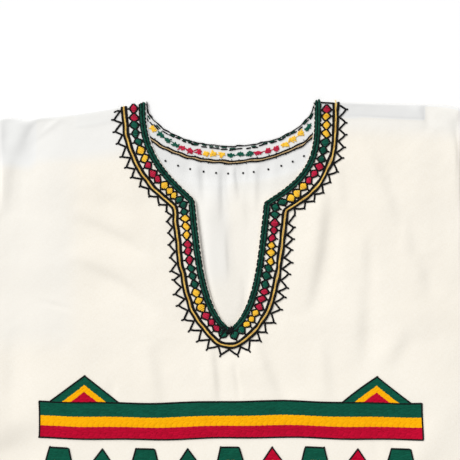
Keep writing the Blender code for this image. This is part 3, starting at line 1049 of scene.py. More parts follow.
class Stitches:
    """Short stitches of one thread, joined into one mesh by repeating one shape."""

    shape: Optional[tuple[Points, list[list[int]]]] = None

    def __init__(self, name: str, colour: Colour, surface: Height, up: float = 1.0) -> None:
        """Starts with no stitches.

        Args:
            name: the piece's name.
            colour: the thread.
            surface: height of the cloth that it is sewn on.
            up: 1 on a face that looks up, -1 on one that looks down.
        """
        self.name, self.colour, self.surface, self.up = name, colour, surface, up
        self.rows: list[tuple[float, ...]] = []
        self.chance = random.Random(name)

    def add(self, start: Points, end: Points, width: float, height: float, lift: float = 0.0) -> None:
        """Sews one stitch.

        Args:
            start: where it comes up.
            end: where it goes down.
            width: of the thread as it lies.
            height: how far it stands off the cloth.
            lift: how far under it other stitches raise it.
        """
        self.rows.append((*start[:2], *end[:2], width, height, lift, self.chance.uniform(0.15, 0.85)))

    def along(
        self, line: Line, pitch: float, length: float, width: float, height: float, slant: float = 0.0
    ) -> None:
        """Sews a row of overlapping stitches along a line, each turned across it by slant.

        Args:
            line: where the row runs.
            pitch: from stitch to stitch.
            length: of a stitch.
            width: of the thread as it lies.
            height: how far it stands off the cloth.
            slant: how far across the line a stitch reaches.
        """
        for step in range(max(1, round(line.length / pitch))):
            middle = min(line.length, (step + 0.5) * pitch)
            run, side = line.ahead(middle), line.aside(middle)
            reach = run * length / 2 + side * slant / 2
            self.add(line.at(middle) - reach, line.at(middle) + reach, width, height)

    def build(self, zero: Points) -> bpy.types.Object:
        """Makes the piece.

        Args:
            zero: where the cutting coordinates start in the frame.

        Returns:
            The piece, riding on the body.
        """
        if Stitches.shape is None:
            Stitches.shape = stitch_shape()
        shape, faces = Stitches.shape
        rows = np.array(self.rows)
        start, end = rows[:, 0:2], rows[:, 2:4]
        width, height, lift, tone = rows[:, 4:8].T
        middle = (start + end) / 2
        first, last, mid = self.surface(start), self.surface(end), self.surface(middle)
        run = np.column_stack([end - start, last - first])
        length = np.linalg.norm(run, axis=1)
        run /= length[:, None]
        side = np.column_stack([-run[:, 1], run[:, 0], np.zeros(len(run))]) * self.up
        side /= np.linalg.norm(side, axis=1)[:, None]
        normal = np.cross(run, side)
        outer = np.maximum if self.up > 0 else np.minimum
        centre = np.column_stack([middle + zero, outer(mid, (first + last) / 2)]) + normal * lift[:, None]
        spots = shape * np.column_stack([length, width, height])[:, None, :]
        points = centre[:, None, :] + spots @ np.stack([run, side, normal], axis=1)
        mesh = joined_copies(self.name, points, faces)
        corners = np.array([number for face in faces for number in face])
        uv = mesh.uv_layers.new(name="thread")
        uv.data.foreach_set("uv", spots[:, corners, :2].astype(np.float32).ravel())
        shade = mesh.attributes.new("tone", "FLOAT", "POINT")
        shade.data.foreach_set("value", np.repeat(tone, len(shape)).astype(np.float32))
        return placed(mesh, self.colour.value)


def joined_copies(name: str, points: Points, faces: list[list[int]]) -> bpy.types.Mesh:
    """One mesh of many copies of one shape.

    Args:
        name: the mesh's name.
        points: copies by points by 3.
        faces: the shape's faces.

    Returns:
        The mesh.
    """
    copies, size = points.shape[:2]
    corners = np.array([number for face in faces for number in face])
    counts = np.array([len(face) for face in faces])
    mesh = bpy.data.meshes.new(name)
    mesh.vertices.add(copies * size)
    mesh.vertices.foreach_set("co", points.astype(np.float32).ravel())
    mesh.loops.add(copies * len(corners))
    each = np.arange(copies)[:, None]
    mesh.loops.foreach_set("vertex_index", (corners[None, :] + each * size).astype(np.int32).ravel())
    mesh.polygons.add(copies * len(faces))
    starts = np.concatenate([[0], np.cumsum(counts)[:-1]])
    mesh.polygons.foreach_set("loop_start", (starts[None, :] + each * len(corners)).astype(np.int32).ravel())
    mesh.update(calc_edges=True)
    return mesh


def cloth_piece(
    name: str, bm: bmesh.types.BMesh, doubled: Points, thickness: float, node: str
) -> bpy.types.Object:
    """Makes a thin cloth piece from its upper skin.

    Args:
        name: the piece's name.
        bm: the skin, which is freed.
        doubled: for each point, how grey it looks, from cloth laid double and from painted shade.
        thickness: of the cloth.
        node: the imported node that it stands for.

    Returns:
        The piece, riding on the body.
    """
    mesh = bpy.data.meshes.new(name)
    bm.to_mesh(mesh)
    bm.free()
    shade = mesh.attributes.new("doubled", "FLOAT", "POINT")
    shade.data.foreach_set("value", doubled.astype(np.float32))
    piece = placed(mesh, Cotton())
    wall = piece.modifiers.new("cloth thickness", "SOLIDIFY")
    wall.thickness = thickness
    wall.offset = -1.0
    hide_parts(node)
    return piece


def skin_area(piece: bpy.types.Object) -> float:
    """Area of a piece's skin before it has its thickness."""
    return sum(face.area for face in piece.data.polygons)


def close_ends(share: Points, strength: float) -> Points:
    """Spaces a run of shares from 0 to 1 closer at both ends."""
    return share - strength * np.sin(2 * np.pi * share) / (2 * np.pi)


@dataclass
class Panel:
    """A body panel: two half grids that meet on the middle below the neck."""

    name: str
    drape: Drape
    neck_depths: Callable[[Side], Points]
    neck_width: Callable[[Side, Points], Points]
    height: Height
    columns: int
    armhole_rows: int
    body_rows: int
    hem_level: float = 0.70

    def levels(self, side: Side) -> tuple[Points, Points]:
        """Depths of each row at the neck or middle, and at the outer edge.

        Args:
            side: the side of the body.

        Returns:
            The depths inside, and those outside.
        """
        pattern = self.drape.pattern
        neck, foot = self.neck_depths(side), pattern.length - pattern.hem_rise
        share = np.linspace(0, 1, self.body_rows + 1)
        down = (close_ends(share, 0.6) * 0.5 + share**1.7 * 0.5)[1:]
        inner = np.concatenate([neck, neck[-1] + (pattern.length - neck[-1]) * down])
        rows = len(inner) - 1
        armhole = np.linspace(0, 1, self.armhole_rows + 1) ** 1.15
        outer = -side.tip_y + (pattern.armhole_depth + side.tip_y) * armhole
        below = close_ends(np.linspace(0, 1, rows - self.armhole_rows + 1) / 2 + 0.5, 0.6)[1:] * 2 - 1
        return inner, np.concatenate([outer, pattern.armhole_depth + (foot - pattern.armhole_depth) * below])

    def spots(self, side: Side, across: Points, row: Points) -> Points:
        """Where the grid's points lie, from their share across and their row.

        Args:
            side: the side of the body.
            across: each point's share.
            row: its row.

        Returns:
            Rows of x and y.
        """
        pattern = self.drape.pattern
        inner, outer = self.levels(side)
        depth, level = inner[row], outer[row]
        from_x, from_y = np.maximum(self.neck_width(side, depth), 0.0), -depth
        to_x, to_y = pattern.edge_at(side, -level), -level
        share = close_ends(across, 0.75)
        x = from_x + (to_x - from_x) * share
        y = from_y + (to_y - from_y) * share
        top = pattern.shoulder(side, x) - (side.neck_rise + (side.tip_y - side.neck_rise) * share)
        y += (top + side.neck_rise * (1 - share)) * (1 - smooth(depth / 0.045))
        near_hem = smooth((level - self.hem_level) / (level.max() - self.hem_level))
        y += (pattern.hem(x) - (to_y - from_y) * share - from_y) * near_hem
        return np.column_stack([x * side.out, y])

    def build(self, zero: Points, node: str, doubled: Optional[Height] = None) -> bpy.types.Object:
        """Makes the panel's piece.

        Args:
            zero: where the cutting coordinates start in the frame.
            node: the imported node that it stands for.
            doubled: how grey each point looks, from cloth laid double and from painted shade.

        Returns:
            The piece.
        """
        rows = len(self.neck_depths(LEFT)) - 1 + self.body_rows
        bm = bmesh.new()
        for side in (LEFT, RIGHT):
            made = bmesh.ops.create_grid(bm, x_segments=self.columns, y_segments=rows, size=1.0)
            shares = np.array([vert.co[:2] for vert in made["verts"]])
            row = np.rint((1 - shares[:, 1]) / 2 * rows).astype(int)
            spots = self.spots(side, (shares[:, 0] + 1) / 2, row)
            for vert, (x, y) in zip(made["verts"], spots):
                vert.co = (x, y, 0.0)
        bmesh.ops.remove_doubles(bm, verts=bm.verts[:], dist=1e-5)
        bmesh.ops.recalc_face_normals(bm, faces=bm.faces[:])
        if bm.faces[:][0].normal.z < 0:
            bmesh.ops.reverse_faces(bm, faces=bm.faces[:])
        spots = np.array([vert.co[:2] for vert in bm.verts])
        for vert, height in zip(bm.verts, self.height(spots)):
            vert.co = (vert.co.x + zero[0], vert.co.y + zero[1], height)
        shade = doubled(spots) if doubled else np.zeros(len(spots))
        return cloth_piece(self.name, bm, shade, self.drape.cloth, node)


@dataclass
class Sleeve:
    """A sleeve: a flattened tube folded along the overarm and closed under the arm."""

    name: str
    side: Side
    drape: Drape
    across_steps: int = 44
    turn_steps: int = 6
    rings: int = 56
    hem: float = 0.020
    under_length: float = 0.25
    groove: float = 0.55 * MM
    groove_run: float = 0.0013

    def corners(self) -> tuple[Points, Points]:
        """The cuff's top and bottom corners on the +X side.

        Returns:
            The two points.
        """
        side, slope = self.side, math.radians(self.side.slope)
        out = np.array([math.cos(slope), -math.sin(slope)])
        top = np.array([side.tip_half, side.tip_y]) + side.overarm * out
        return top, top + side.cuff * np.array([-math.sin(slope), -math.cos(slope)])

    def base(self, along: Points, across: Points) -> Points:
        """Points on the surface at shares out from the armhole and down from the overarm.

        Args:
            along: shares out.
            across: shares down.

        Returns:
            Rows of x and y, on the +X side.
        """
        side, pattern = self.side, self.drape.pattern
        top, bottom = self.corners()
        y = side.tip_y + (-pattern.armhole_depth - side.tip_y) * across
        seam = np.column_stack([pattern.edge_at(side, y) + 0.12 * MM, y])
        cuff = top + (bottom - top) * across[:, None]
        cuff = cuff + np.array([0.006, -0.002]) * (4 * across * (1 - across))[:, None]
        return seam + (cuff - seam) * along[:, None]

    def upper(self, along: Points, across: Points) -> Points:
        """Height of the upper layer's face.

        Args:
            along: shares out.
            across: shares down.

        Returns:
            The heights.
        """
        rise = self.drape.sleeve_rise(np.column_stack([along, across]), self.side.cuff)
        gone = along * (self.side.overarm * (1 - across) + 0.17 * across)
        left = (1 - along) * self.under_length
        groove = self.groove * np.exp(-((gone / self.groove_run) ** 2))
        hem = 0.35 * MM * smooth((self.hem - left) / self.drape.doubled_edge)
        return 2 * self.drape.wall + self.drape.gap + rise - groove + hem

    def build(self, zero: Points, node: str) -> bpy.types.Object:
        """Makes the sleeve's piece.

        Args:
            zero: where the cutting coordinates start in the frame.
            node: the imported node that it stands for.

        Returns:
            The piece.
        """
        ring = 2 * (self.across_steps + self.turn_steps)
        bm = bmesh.new()
        bmesh.ops.create_grid(bm, x_segments=ring, y_segments=self.rings, size=1.0)
        shares = np.array([vert.co[:2] for vert in bm.verts])
        step = np.rint((shares[:, 0] + 1) / 2 * ring).astype(int) % ring
        along = close_ends((shares[:, 1] + 1) / 2, 0.7)
        for vert, point in zip(bm.verts, self.skin(step, along)):
            vert.co = (point[0] * self.side.out + zero[0], point[1] + zero[1], point[2])
        bmesh.ops.remove_doubles(bm, verts=bm.verts[:], dist=1e-6)
        bmesh.ops.recalc_face_normals(bm, faces=bm.faces[:])
        highest = max(bm.faces, key=lambda face: face.calc_center_median().z)
        if highest.normal.z < 0:
            bmesh.ops.reverse_faces(bm, faces=bm.faces[:])
        top, bottom = self.corners()
        cuff = np.array([top * (self.side.out, 1.0), bottom * (self.side.out, 1.0)]) + zero
        spots = np.array([vert.co[:2] for vert in bm.verts])
        shade = smooth((self.hem - distance_to(spots, cuff)) / self.drape.doubled_edge)
        return cloth_piece(self.name, bm, shade, self.drape.cloth, node)

    def skin(self, step: Points, along: Points) -> Points:
        """The outer skin's points, step counting round from the overarm over the upper layer.

        Args:
            step: each point's step.
            along: its share out from the armhole.

        Returns:
            Rows of x, y, z.
        """
        across_steps, turn_steps = self.across_steps, self.turn_steps
        radius = self.drape.wall + self.drape.gap / 2
        low = self.drape.back_under
        upper = step < across_steps
        far = (step >= across_steps) & (step < across_steps + turn_steps)
        near = step >= 2 * across_steps + turn_steps
        across = np.where(upper, step / across_steps, 1 - (step - across_steps - turn_steps) / across_steps)
        across = np.where(far, 1.0, np.where(near, 0.0, across))
        flat = self.base(along, across)
        away = flat - self.base(along, np.full(len(along), 0.5))
        away /= np.hypot(away[:, 0], away[:, 1])[:, None] + 1e-9
        turn = np.where(far, step - across_steps, step - 2 * across_steps - turn_steps) / turn_steps * np.pi
        bulge = np.where(far | near, radius * np.sin(turn), 0.0)
        height = np.where(upper, self.upper(along, across), low)
        edge = radius * (1 + np.cos(turn) * np.where(far, 1.0, -1.0))
        dip = self.groove * np.exp(-((along * 0.2 / self.groove_run) ** 2)) * (edge / (2 * radius))
        height = np.where(far | near, np.maximum(edge - dip, low), height)
        return np.column_stack([flat + away * bulge[:, None], height])


class Hand:
    """A sewing hand, which never sews two stitches alike."""

    def __init__(self, seed: int) -> None:
        """Starts the hand from a seed."""
        self.chance = random.Random(seed)

    def share(self, low: float, high: float) -> float:
        """A number between two others."""
        return self.chance.uniform(low, high)

    def mm(self, low: float, high: float) -> float:
        """A length between two others that are given in millimetres."""
        return self.chance.uniform(low, high) * MM


def charted(stitches: Callable[[str, Colour], Stitches], part: str) -> dict[str, Stitches]:
    """A set of stitches for each letter of a chart.

    Args:
        stitches: makes an empty set from its name and thread.
        part: what the stitches make.

    Returns:
        The sets by letter.
    """
    threads = (Colour.GREEN, Colour.YELLOW, Colour.RED)
    return {thread.name[0]: stitches(f"{thread.name.lower()}_{part}", thread) for thread in threads}


@dataclass
class NeckBand:
    """The band round a neck: braid, lozenges in a black lattice, gold cord and black teeth."""

    name: str
    lines: Callable[[float, float], Line]
    surface: Height
    up: float
    charts: tuple[str, str]
    relief: float = 1.0
    spread: Shares = ((0.0, 1.0), (0.0, 1.0))
    feet: Shares = ((0.0, 1.0), (0.0, 1.0))
    reach: Shares = ((0.0, 1.0), (10.5, 10.5))
    lean: Shares = ((0.0, 1.0), (0.5, 0.5))
    # Rows in millimetres out from the edge, in general and at the slit's round end.
    braid_rows: Pairs = ((2.3, 1.6), (3.8, 2.7), (5.3, 3.8))
    braid_edges: tuple[tuple[float, float, float], ...] = ((0.75, 0.5, 1.16), (7.1, 5.7, 1.0))
    braid_height: float = 1.3 * MM
    lozenge_row: tuple[float, float] = (13.6, 9.6)
    lozenge_half: float = 5.4 * MM
    satin_rows: int = 7
    cord_strands: Pairs = ((24.05, 20.3), (24.95, 21.2))
    cord_sides: Pairs = ((22.2, 18.5), (26.8, 23.0))
    cord_height: float = 1.45 * MM
    tooth_row: tuple[float, float] = (29.0, 24.9)
    tooth_pitch: float = 14.0 * MM
    hand: Hand = field(default_factory=lambda: Hand(5))

    def stitches(self, part: str, colour: Colour) -> Stitches:
        """An empty set of stitches on this band's cloth."""
        return Stitches(f"{self.name}_{part}", colour, self.surface, self.up)

    def row(self, offsets: tuple[float, float]) -> Line:
        """A row of the band, from its offsets in general and at the round end."""
        return self.lines(offsets[0] * MM, offsets[1] * MM)

    def sewn(self) -> list[Stitches]:
        """All the band's stitches, a set for each part and thread."""
        return [*self.braid(), *self.lozenges(), *self.cord(), self.teeth()]

    def braid(self) -> list[Stitches]:
        """The two-row chain along the edge, on padding rows, with thin black edges.

        Returns:
            The green stitches and the black ones.
        """
        green = self.stitches("green_braid", Colour.BRAID)
        black = self.stitches("braid_edges", Colour.BLACK)
        tall = self.braid_height * self.relief
        for offsets in self.braid_rows:
            black.along(self.row(offsets), 3.0 * MM, 4.6 * MM, 2.2 * MM, tall * 0.55)
        middle, place = self.row(self.braid_rows[1]), 2 * MM
        while place < middle.length:
            for way in (-1.0, 1.0):
                where = place + way * 0.9 * MM + self.hand.mm(-0.5, 0.5)
                spot, run, side = middle.at(where), middle.ahead(where), middle.aside(where) * way
                start = spot + side * self.hand.mm(1.9, 2.5) - run * self.hand.mm(2.2, 2.8)
                end = spot + side * self.hand.mm(0.8, 1.3) + run * self.hand.mm(2.6, 3.4)
                green.add(start, end, self.hand.mm(2.7, 3.3), tall * self.hand.share(0.9, 1.05))
            place += self.hand.mm(3.4, 4.2)
        black.along(middle, 2.6 * MM, 3.4 * MM, 0.8 * MM, tall * 1.04, 0.3 * MM)
        for offset, at_end, gap in self.braid_edges:
            self.broken_row(black, self.row((offset, at_end)), gap, 2.0, tall * 0.95)
        return [green, black]

    def broken_row(self, thread: Stitches, row: Line, gap: float, width: float, tall: float) -> None:
        """Sews a row of uneven stitches with small gaps.

        Args:
            thread: the stitches to add to.
            row: the line to sew along.
            gap: mean step from stitch to stitch, as a share of a stitch.
            width: of a stitch in millimetres.
            tall: its height.
        """
        place = 2.2 * MM
        while place < row.length - 1.5 * MM:
            long = 4.6 * self.hand.mm(0.75, 1.3)
            spot, side = row.at(place), row.aside(place)
            lean = side * self.hand.mm(-0.35, 0.35)
            reach = row.ahead(place) * long / 2
            thread.add(spot - reach + lean, spot + reach - lean, width * MM, tall)
            place += long * gap * self.hand.share(0.88, 1.12)

    def lozenges(self) -> list[Stitches]:
        """Satin lozenges down each side of the neck, each in its black outline with two ties.

        Returns:
            A set for each colour, and the black lattice.
        """
        sets = charted(self.stitches, "lozenges")
        black = self.stitches("lattice", Colour.BLACK)
        middle = self.row(self.lozenge_row).wavered(0.4 * MM, 2)
        order = self.charts[0] + self.charts[1][::-1]
        places = np.interp((np.arange(len(order)) + 0.5) / len(order), *self.spread) * middle.length
        places += [self.hand.mm(-0.8, 0.8) for _ in order]
        halves = np.gradient(places) / 2
        for letter, place, half in zip(order, places, np.minimum(halves, self.lozenge_half)):
            run = middle.ahead(place, 4 * MM)
            side = np.array([run[1], -run[0]])
            spot = middle.at(place) + side * self.hand.mm(-0.4, 0.4)
            wide = self.hand.mm(4.1, 5.9)
            half *= self.hand.share(0.88, 1.10)
            corners = [
                run * (half + 0.2 * MM) + side * self.hand.mm(-0.9, 0.9),
                side * wide + run * self.hand.mm(-1.7, 1.7),
                run * -(half + 0.2 * MM) + side * self.hand.mm(-0.9, 0.9),
                side * -wide + run * self.hand.mm(-1.7, 1.7),
            ]
            self.satin(sets[letter], spot, corners)
            self.lattice(black, spot, corners, side)
        return [*sets.values(), black]

    def satin(self, thread: Stitches, spot: Points, corners: Sequence[Points]) -> None:
        """Fills one lozenge with threads laid across the band, higher in the middle.

        Args:
            thread: the stitches to add to.
            spot: its middle.
            corners: from the middle.
        """
        rows = self.satin_rows
        top, right, foot, left = corners
        width = math.hypot(*(top - foot)) / rows * 1.35
        for row in range(rows):
            share = (2 * row + 1 - rows) / rows
            end = top if share > 0 else foot
            past = abs(share)
            bulge = 1 + 0.30 * math.sin(math.pi * past)
            start_at = spot + (left + (end - left) * past) * bulge * 0.84
            end_at = spot + (right + (end - right) * past) * bulge * 0.84
            tall = (1.55 - 0.75 * share * share) * MM * self.relief
            thread.add(start_at, end_at, width, tall)

    def lattice(self, black: Stitches, spot: Points, corners: Sequence[Points], side: Points) -> None:
        """The black strokes round one lozenge, which cross at its ends, and its two ties.

        Args:
            black: the stitches to add to.
            spot: the lozenge's middle.
            corners: its corners from there.
            side: the way out of the band.
        """
        tall = 1.15 * MM * self.relief
        for first, second in zip(corners, [*corners[1:], corners[0]]):
            bulge = (first + second) * self.hand.share(0.56, 0.62)
            run = (second - first) * 0.07
            black.add(spot + first * 1.06, spot + bulge + run, 2.25 * MM, tall, 0.15 * MM)
            black.add(spot + bulge - run, spot + second * 1.06, 2.25 * MM, tall, 0.15 * MM)
        for corner, reach in ((corners[1], 3.0), (corners[3], -2.4)):
            end = corner + side * reach * MM + self.hand.share(-0.25, 0.25) * corners[0] * 0.4
            black.add(spot + corner * 0.9, spot + end, 2.1 * MM, tall * 0.85)

    def cord(self) -> list[Stitches]:
        """The gold cord, two smooth strands side by side between two black rows.

        Returns:
            The gold stitches and the black ones.
        """
        gold = self.stitches("gold_strands", Colour.GOLD)
        black = self.stitches("cord_rows", Colour.BLACK)
        tall = self.cord_height * self.relief
        for offsets in self.cord_strands:
            row = self.row(offsets).wavered(0.35 * MM, 4)
            gold.along(row, 4.6 * MM, 7.0 * MM, 0.98 * MM, tall * 0.92, 0.3 * MM)
        for offsets in self.cord_sides:
            row = self.row(offsets).wavered(0.35 * MM, 4)
            black.along(row, 2.4 * MM, 4.6 * MM, 3.3 * MM, tall * 0.90, 0.4 * MM)
        across = [self.row((offset, offset)).points[-1] - [0.0, 0.6 * MM] for offset in (8.0, 22.0)]
        black.along(Line(np.array(across)).even(1 * MM), 2.4 * MM, 4.2 * MM, 2.0 * MM, tall * 0.8, 0.4 * MM)
        return [gold, black]

    def teeth(self) -> Stitches:
        """Black pointed loops outside the cord, each drawn to a point with a tail.

        Returns:
            The stitches.
        """
        black = self.stitches("teeth", Colour.BLACK)
        base = self.row(self.tooth_row).wavered(0.35 * MM, 4)
        count = round(base.length / self.tooth_pitch)
        feet = np.interp(np.arange(count + 1) / count, *self.feet) * base.length
        start, side, run = base.at(feet[0]), base.aside(feet[0]), base.ahead(feet[0])
        black.add(start, start + side * 3.8 * MM - run * 0.6 * MM, 2.3 * MM, 1.0 * MM * self.relief)
        bend, tip = start + (side * 3.4 - run * 0.4) * MM, start + (side * 7.4 + run * 1.2) * MM
        black.add(bend, tip, 2.0 * MM, 0.9 * MM * self.relief)
        for index, (first, last) in enumerate(zip(feet, feet[1:])):
            share = (index + 0.5) / count
            lean = float(np.interp(share, *self.lean)) + self.hand.share(-0.08, 0.08)
            reach = float(np.interp(share, *self.reach)) * self.hand.mm(0.92, 1.08)
            self.tooth(black, base, (float(first), float(last)), lean, reach)
        return black

    def tooth(
        self, black: Stitches, base: Line, feet: tuple[float, float], lean: float, reach: float
    ) -> None:
        """Sews one tooth.

        Args:
            black: the thread's stitches.
            base: the line that it stands on.
            feet: how far along the line its two feet are.
            lean: where its point stands between them, from 0 to 1.
            reach: how far its tail's end stands off the line.
        """
        tall = 1.0 * MM * self.relief
        middle = feet[0] + (feet[1] - feet[0]) * lean
        side, run = base.aside(middle), base.ahead(middle)
        apex = base.at(middle) + side * reach * 0.68
        tail = base.at(middle) + side * reach + run * self.hand.mm(-1.0, 1.0)
        for place in feet:
            foot = base.at(min(place, base.length))
            bend = (foot + apex) / 2 + side * self.hand.mm(-0.3, 0.9)
            for _ in range(2 if self.hand.share(0, 1) < 0.12 else 1):
                slip = run * self.hand.mm(-0.4, 0.4)
                black.add(foot - side * 0.3 * MM + slip, bend + (apex - foot) * 0.1, 2.5 * MM, tall)
                black.add(bend - (apex - foot) * 0.1 + slip, apex + side * 0.3 * MM, 2.5 * MM, tall)
        foot, out = base.at(feet[0]), base.aside(feet[0])
        black.add(foot - out * 2.2 * MM, foot + out * 0.8 * MM, 2.7 * MM, tall)
        black.add(apex - side * 0.9 * MM, tail, 2.3 * MM, tall)


@dataclass
class SlitKnot:
    """The dark tangle of thread where the braid's two ends cross at the foot of the slit."""

    surface: Height
    middle: tuple[float, float] = (-0.0032, -0.2640)
    reach: float = 0.0052
    stitches: int = 36
    hand: Hand = field(default_factory=lambda: Hand(3))

    def sewn(self) -> list[Stitches]:
        """The crossing stitches, black over green.

        Returns:
            The black stitches and the green ones.
        """
        black = Stitches("slit_knot", Colour.BLACK, self.surface)
        green = Stitches("slit_knot_green", Colour.BRAID, self.surface)
        for index in range(self.stitches):
            turn = (index % 2 * 2 - 1) * self.hand.share(0.2, 1.3)
            spot = np.array(self.middle) + [self.hand.mm(-5.8, 5.8), self.hand.mm(-3.0, 3.0)]
            way = np.array([math.cos(turn), math.sin(turn)]) * self.reach * self.hand.share(0.5, 0.85)
            (green if index % 8 == 3 else black).add(spot - way, spot + way, 1.8 * MM, 1.4 * MM, 0.8 * MM)
        return [black, green]


@dataclass
class ReverseBand:
    """The wrong side of the back neck's band, which the open neck shows."""

    drape: Drape
    chart: str = "YGGGRRRYYYGGGRRRYYYG"
    spread: Shares = (
        (0, 0.12, 0.18, 0.32, 0.38, 0.62, 0.68, 0.95, 1),
        (5.2, 4.8, 2.5, 2.3, 3.5, 3.5, 2.4, 2.3, 3.6),
    )
    early: Shares = ((3, 8, 17, 19), (-0.5, 6.3, 6.0, 3.5))
    higher: Shares = ((0, 2, 4, 16, 18), (3.4, 2.8, 0.2, 0.6, 3.2))
    edge_row: float = 1.1 * MM
    bold_run: float = 17 * MM
    tuft_row: float = 12.0 * MM
    tuft_pitch: float = 10.5 * MM
    tuft_threads: int = 15
    tan_row: float = 19.3 * MM
    black_rows: tuple[float, float] = (17.8 * MM, 20.8 * MM)
    tick_rows: Pairs = ((21.4, 1.4), (16.8, -1.6))
    tick_pitch: float = 14.5 * MM
    dot_row: float = 32.4 * MM
    dot_pitch: float = 14.9 * MM
    hand: Hand = field(default_factory=lambda: Hand(8))

    def line(self, offset: float) -> Line:
        """The back neck edge moved into the cloth."""
        return back_neck_line(self.drape.pattern, offset)

    def sewn(self) -> list[Stitches]:
        """All the stitches, a set for each thread."""
        return [*self.edge_rows(), *self.tufts(), *self.cord_rows()]

    def stitches(self, part: str, colour: Colour) -> Stitches:
        """An empty set of stitches on the inside of the back."""
        return Stitches(f"back_inside_{part}", colour, self.drape.back)

    def edge_rows(self) -> list[Stitches]:
        """Two thin wavering black rows along the edge, with dark green dashes between them.

        Returns:
            The green stitches and the black ones.
        """
        green = self.stitches("edge_green", Colour.BRAID)
        black = self.stitches("edge_black", Colour.BLACK)
        outer = self.line(self.edge_row).wavered(0.45 * MM, 6)
        black.along(outer, 3.0 * MM, 4.2 * MM, 1.25 * MM, 0.80 * MM, 0.35 * MM)
        place = 3.4 * MM
        while place < outer.length - 2.5 * MM:
            close = float(np.interp(place / outer.length, *self.spread))
            long = min(self.hand.mm(5.5, 10.5), 2 * place, 2 * (outer.length - place))
            bold = 0.7 * MM if place < self.bold_run else 0.0
            spot, run, side = outer.at(place), outer.ahead(place), outer.aside(place)
            reach = run * long * self.hand.share(0.42, 0.52)
            lean = side * self.hand.mm(-0.5, 0.5)
            if self.hand.share(0, 1) < 0.65 or bold:
                width = self.hand.mm(1.5, 2.1) + bold
                black.add(spot - reach - lean, spot + reach + lean, width, 0.9 * MM)
            middle = spot + side * close * MM + run * self.hand.mm(-2, 2)
            black.add(middle - reach + lean, middle + reach - lean, self.hand.mm(1.5, 2.0), 0.85 * MM)
            if self.hand.share(0, 1) < (0.9 if close < 3.0 else 0.7):
                aside = side * close * self.hand.mm(0.35, 0.65)
                width = self.hand.mm(1.4, 2.0)
                green.add(spot - reach * 0.8 + aside, spot + reach * 0.8 + aside, width, 0.8 * MM)
            place += long * self.hand.share(0.86, 1.04)
        return [green, black]

    def tufts(self) -> list[Stitches]:
        """Ragged tufts of colour where each lozenge was sewn, joined by stray threads.

        Returns:
            A set for each colour.
        """
        sets = charted(self.stitches, "tufts")
        row, pitch = self.line(self.tuft_row), self.tuft_pitch
        start = (row.length - pitch * len(self.chart)) / 2 + 1.6 * MM
        for index, letter in enumerate(self.chart):
            place = start + (index + 0.5) * pitch - float(np.interp(index, *self.early)) * MM
            spot, run, side = row.at(place), row.ahead(place), row.aside(place)
            spot = spot + side * (self.hand.share(-0.9, 0.9) - float(np.interp(index, *self.higher))) * MM
            thread = sets[letter]
            stretch = self.hand.share(0.8, 1.3)
            for _ in range(self.tuft_threads):
                turn = self.hand.share(-1.3, 1.3)
                reach = (run * math.cos(turn) + side * math.sin(turn)) * self.hand.mm(1.4, 3.2)
                off = run * self.hand.share(-2.7, 2.7) * stretch + side * self.hand.share(-2.0, 2.0) / stretch
                thread.add(spot + off * MM - reach, spot + off * MM + reach, 1.6 * MM, 1.0 * MM)
            if index + 1 < len(self.chart) and self.chart[index + 1] == letter:
                ahead = row.at(place + pitch) - side * float(np.interp(index + 1, *self.higher)) * MM
                thread.add(spot, ahead + side * self.hand.mm(-1.5, 1.5), 0.9 * MM, 0.6 * MM)
        return list(sets.values())

    def cord_rows(self) -> list[Stitches]:
        """A tan row between two thin black ones, and the dots where the teeth's tails go through.

        Returns:
            The tan stitches and the black ones.
        """
        tan = self.stitches("cord_tan", Colour.TAN)
        black = self.stitches("cord_black", Colour.BLACK)
        tan.along(self.line(self.tan_row).wavered(0.5 * MM, 7), 3.4 * MM, 5.0 * MM, 1.8 * MM, 0.80 * MM)
        for offset in self.black_rows:
            row = self.line(offset).wavered(0.5 * MM, 7)
            black.along(row, 3.2 * MM, 4.8 * MM, 1.9 * MM, 1.15 * MM, 0.5 * MM)
        for offset, reach in self.tick_rows:
            ticks = self.line(offset * MM)
            for index in range(int(ticks.length / self.tick_pitch)):
                spot = ticks.at((index + self.hand.share(0.25, 0.75)) * self.tick_pitch)
                way = ticks.aside(ticks.length / 2) * reach * self.hand.mm(0.3, 1.0)
                black.add(spot - way * 0.3, spot + way, 1.4 * MM, 0.9 * MM)
        dots = self.line(self.dot_row)
        for index in range(int(dots.length / self.dot_pitch)):
            spot = dots.at((index + self.hand.share(0.62, 0.84)) * self.dot_pitch)
            reach = np.array([self.hand.share(-0.5, 0.5), 1.2]) * MM
            black.add(spot - reach, spot + reach, 2.4 * MM, 0.9 * MM)
        return [tan, black]


class Motif(Enum):
    """The plain shapes of the chest work, by how much each narrows to its ends."""

    LOZENGE = 1.0
    BLOCK = 0.42

    def half_width(self, share: float) -> float:
        """Half the width at a share of the half height, from 0 in the middle to 1 at an end."""
        return max(0.0, 1 - abs(share) * self.value)


@dataclass(frozen=True)
class Nest:
    """A motif of nested rings: its shape, its middle, half its size, and how far it goes on below."""

    motif: Motif
    middle: float
    level: float
    half: float
    height: float
    below: float

    def half_at(self, size: float, y: float) -> float:
        """Half the width at a level, for a ring of a size."""
        share = abs(y - self.level) / self.height
        return self.half * size * self.motif.half_width(share / size) if share < size else 0.0

    def spans(self, outer: float, inner: float, y: float) -> list[tuple[float, float]]:
        """The runs from x to x that a ring covers at a level.

        Args:
            outer: size of the ring's outside, as a share of the motif's.
            inner: size of its inside.
            y: the level.

        Returns:
            One run, or two beside the inside, or none.
        """
        wide, hole = self.half_at(outer, y), self.half_at(inner, y)
        if wide <= 0:
            return []
        if hole <= 0:
            return [(self.middle - wide, self.middle + wide)]
        return [(self.middle - wide, self.middle - hole), (self.middle + hole, self.middle + wide)]


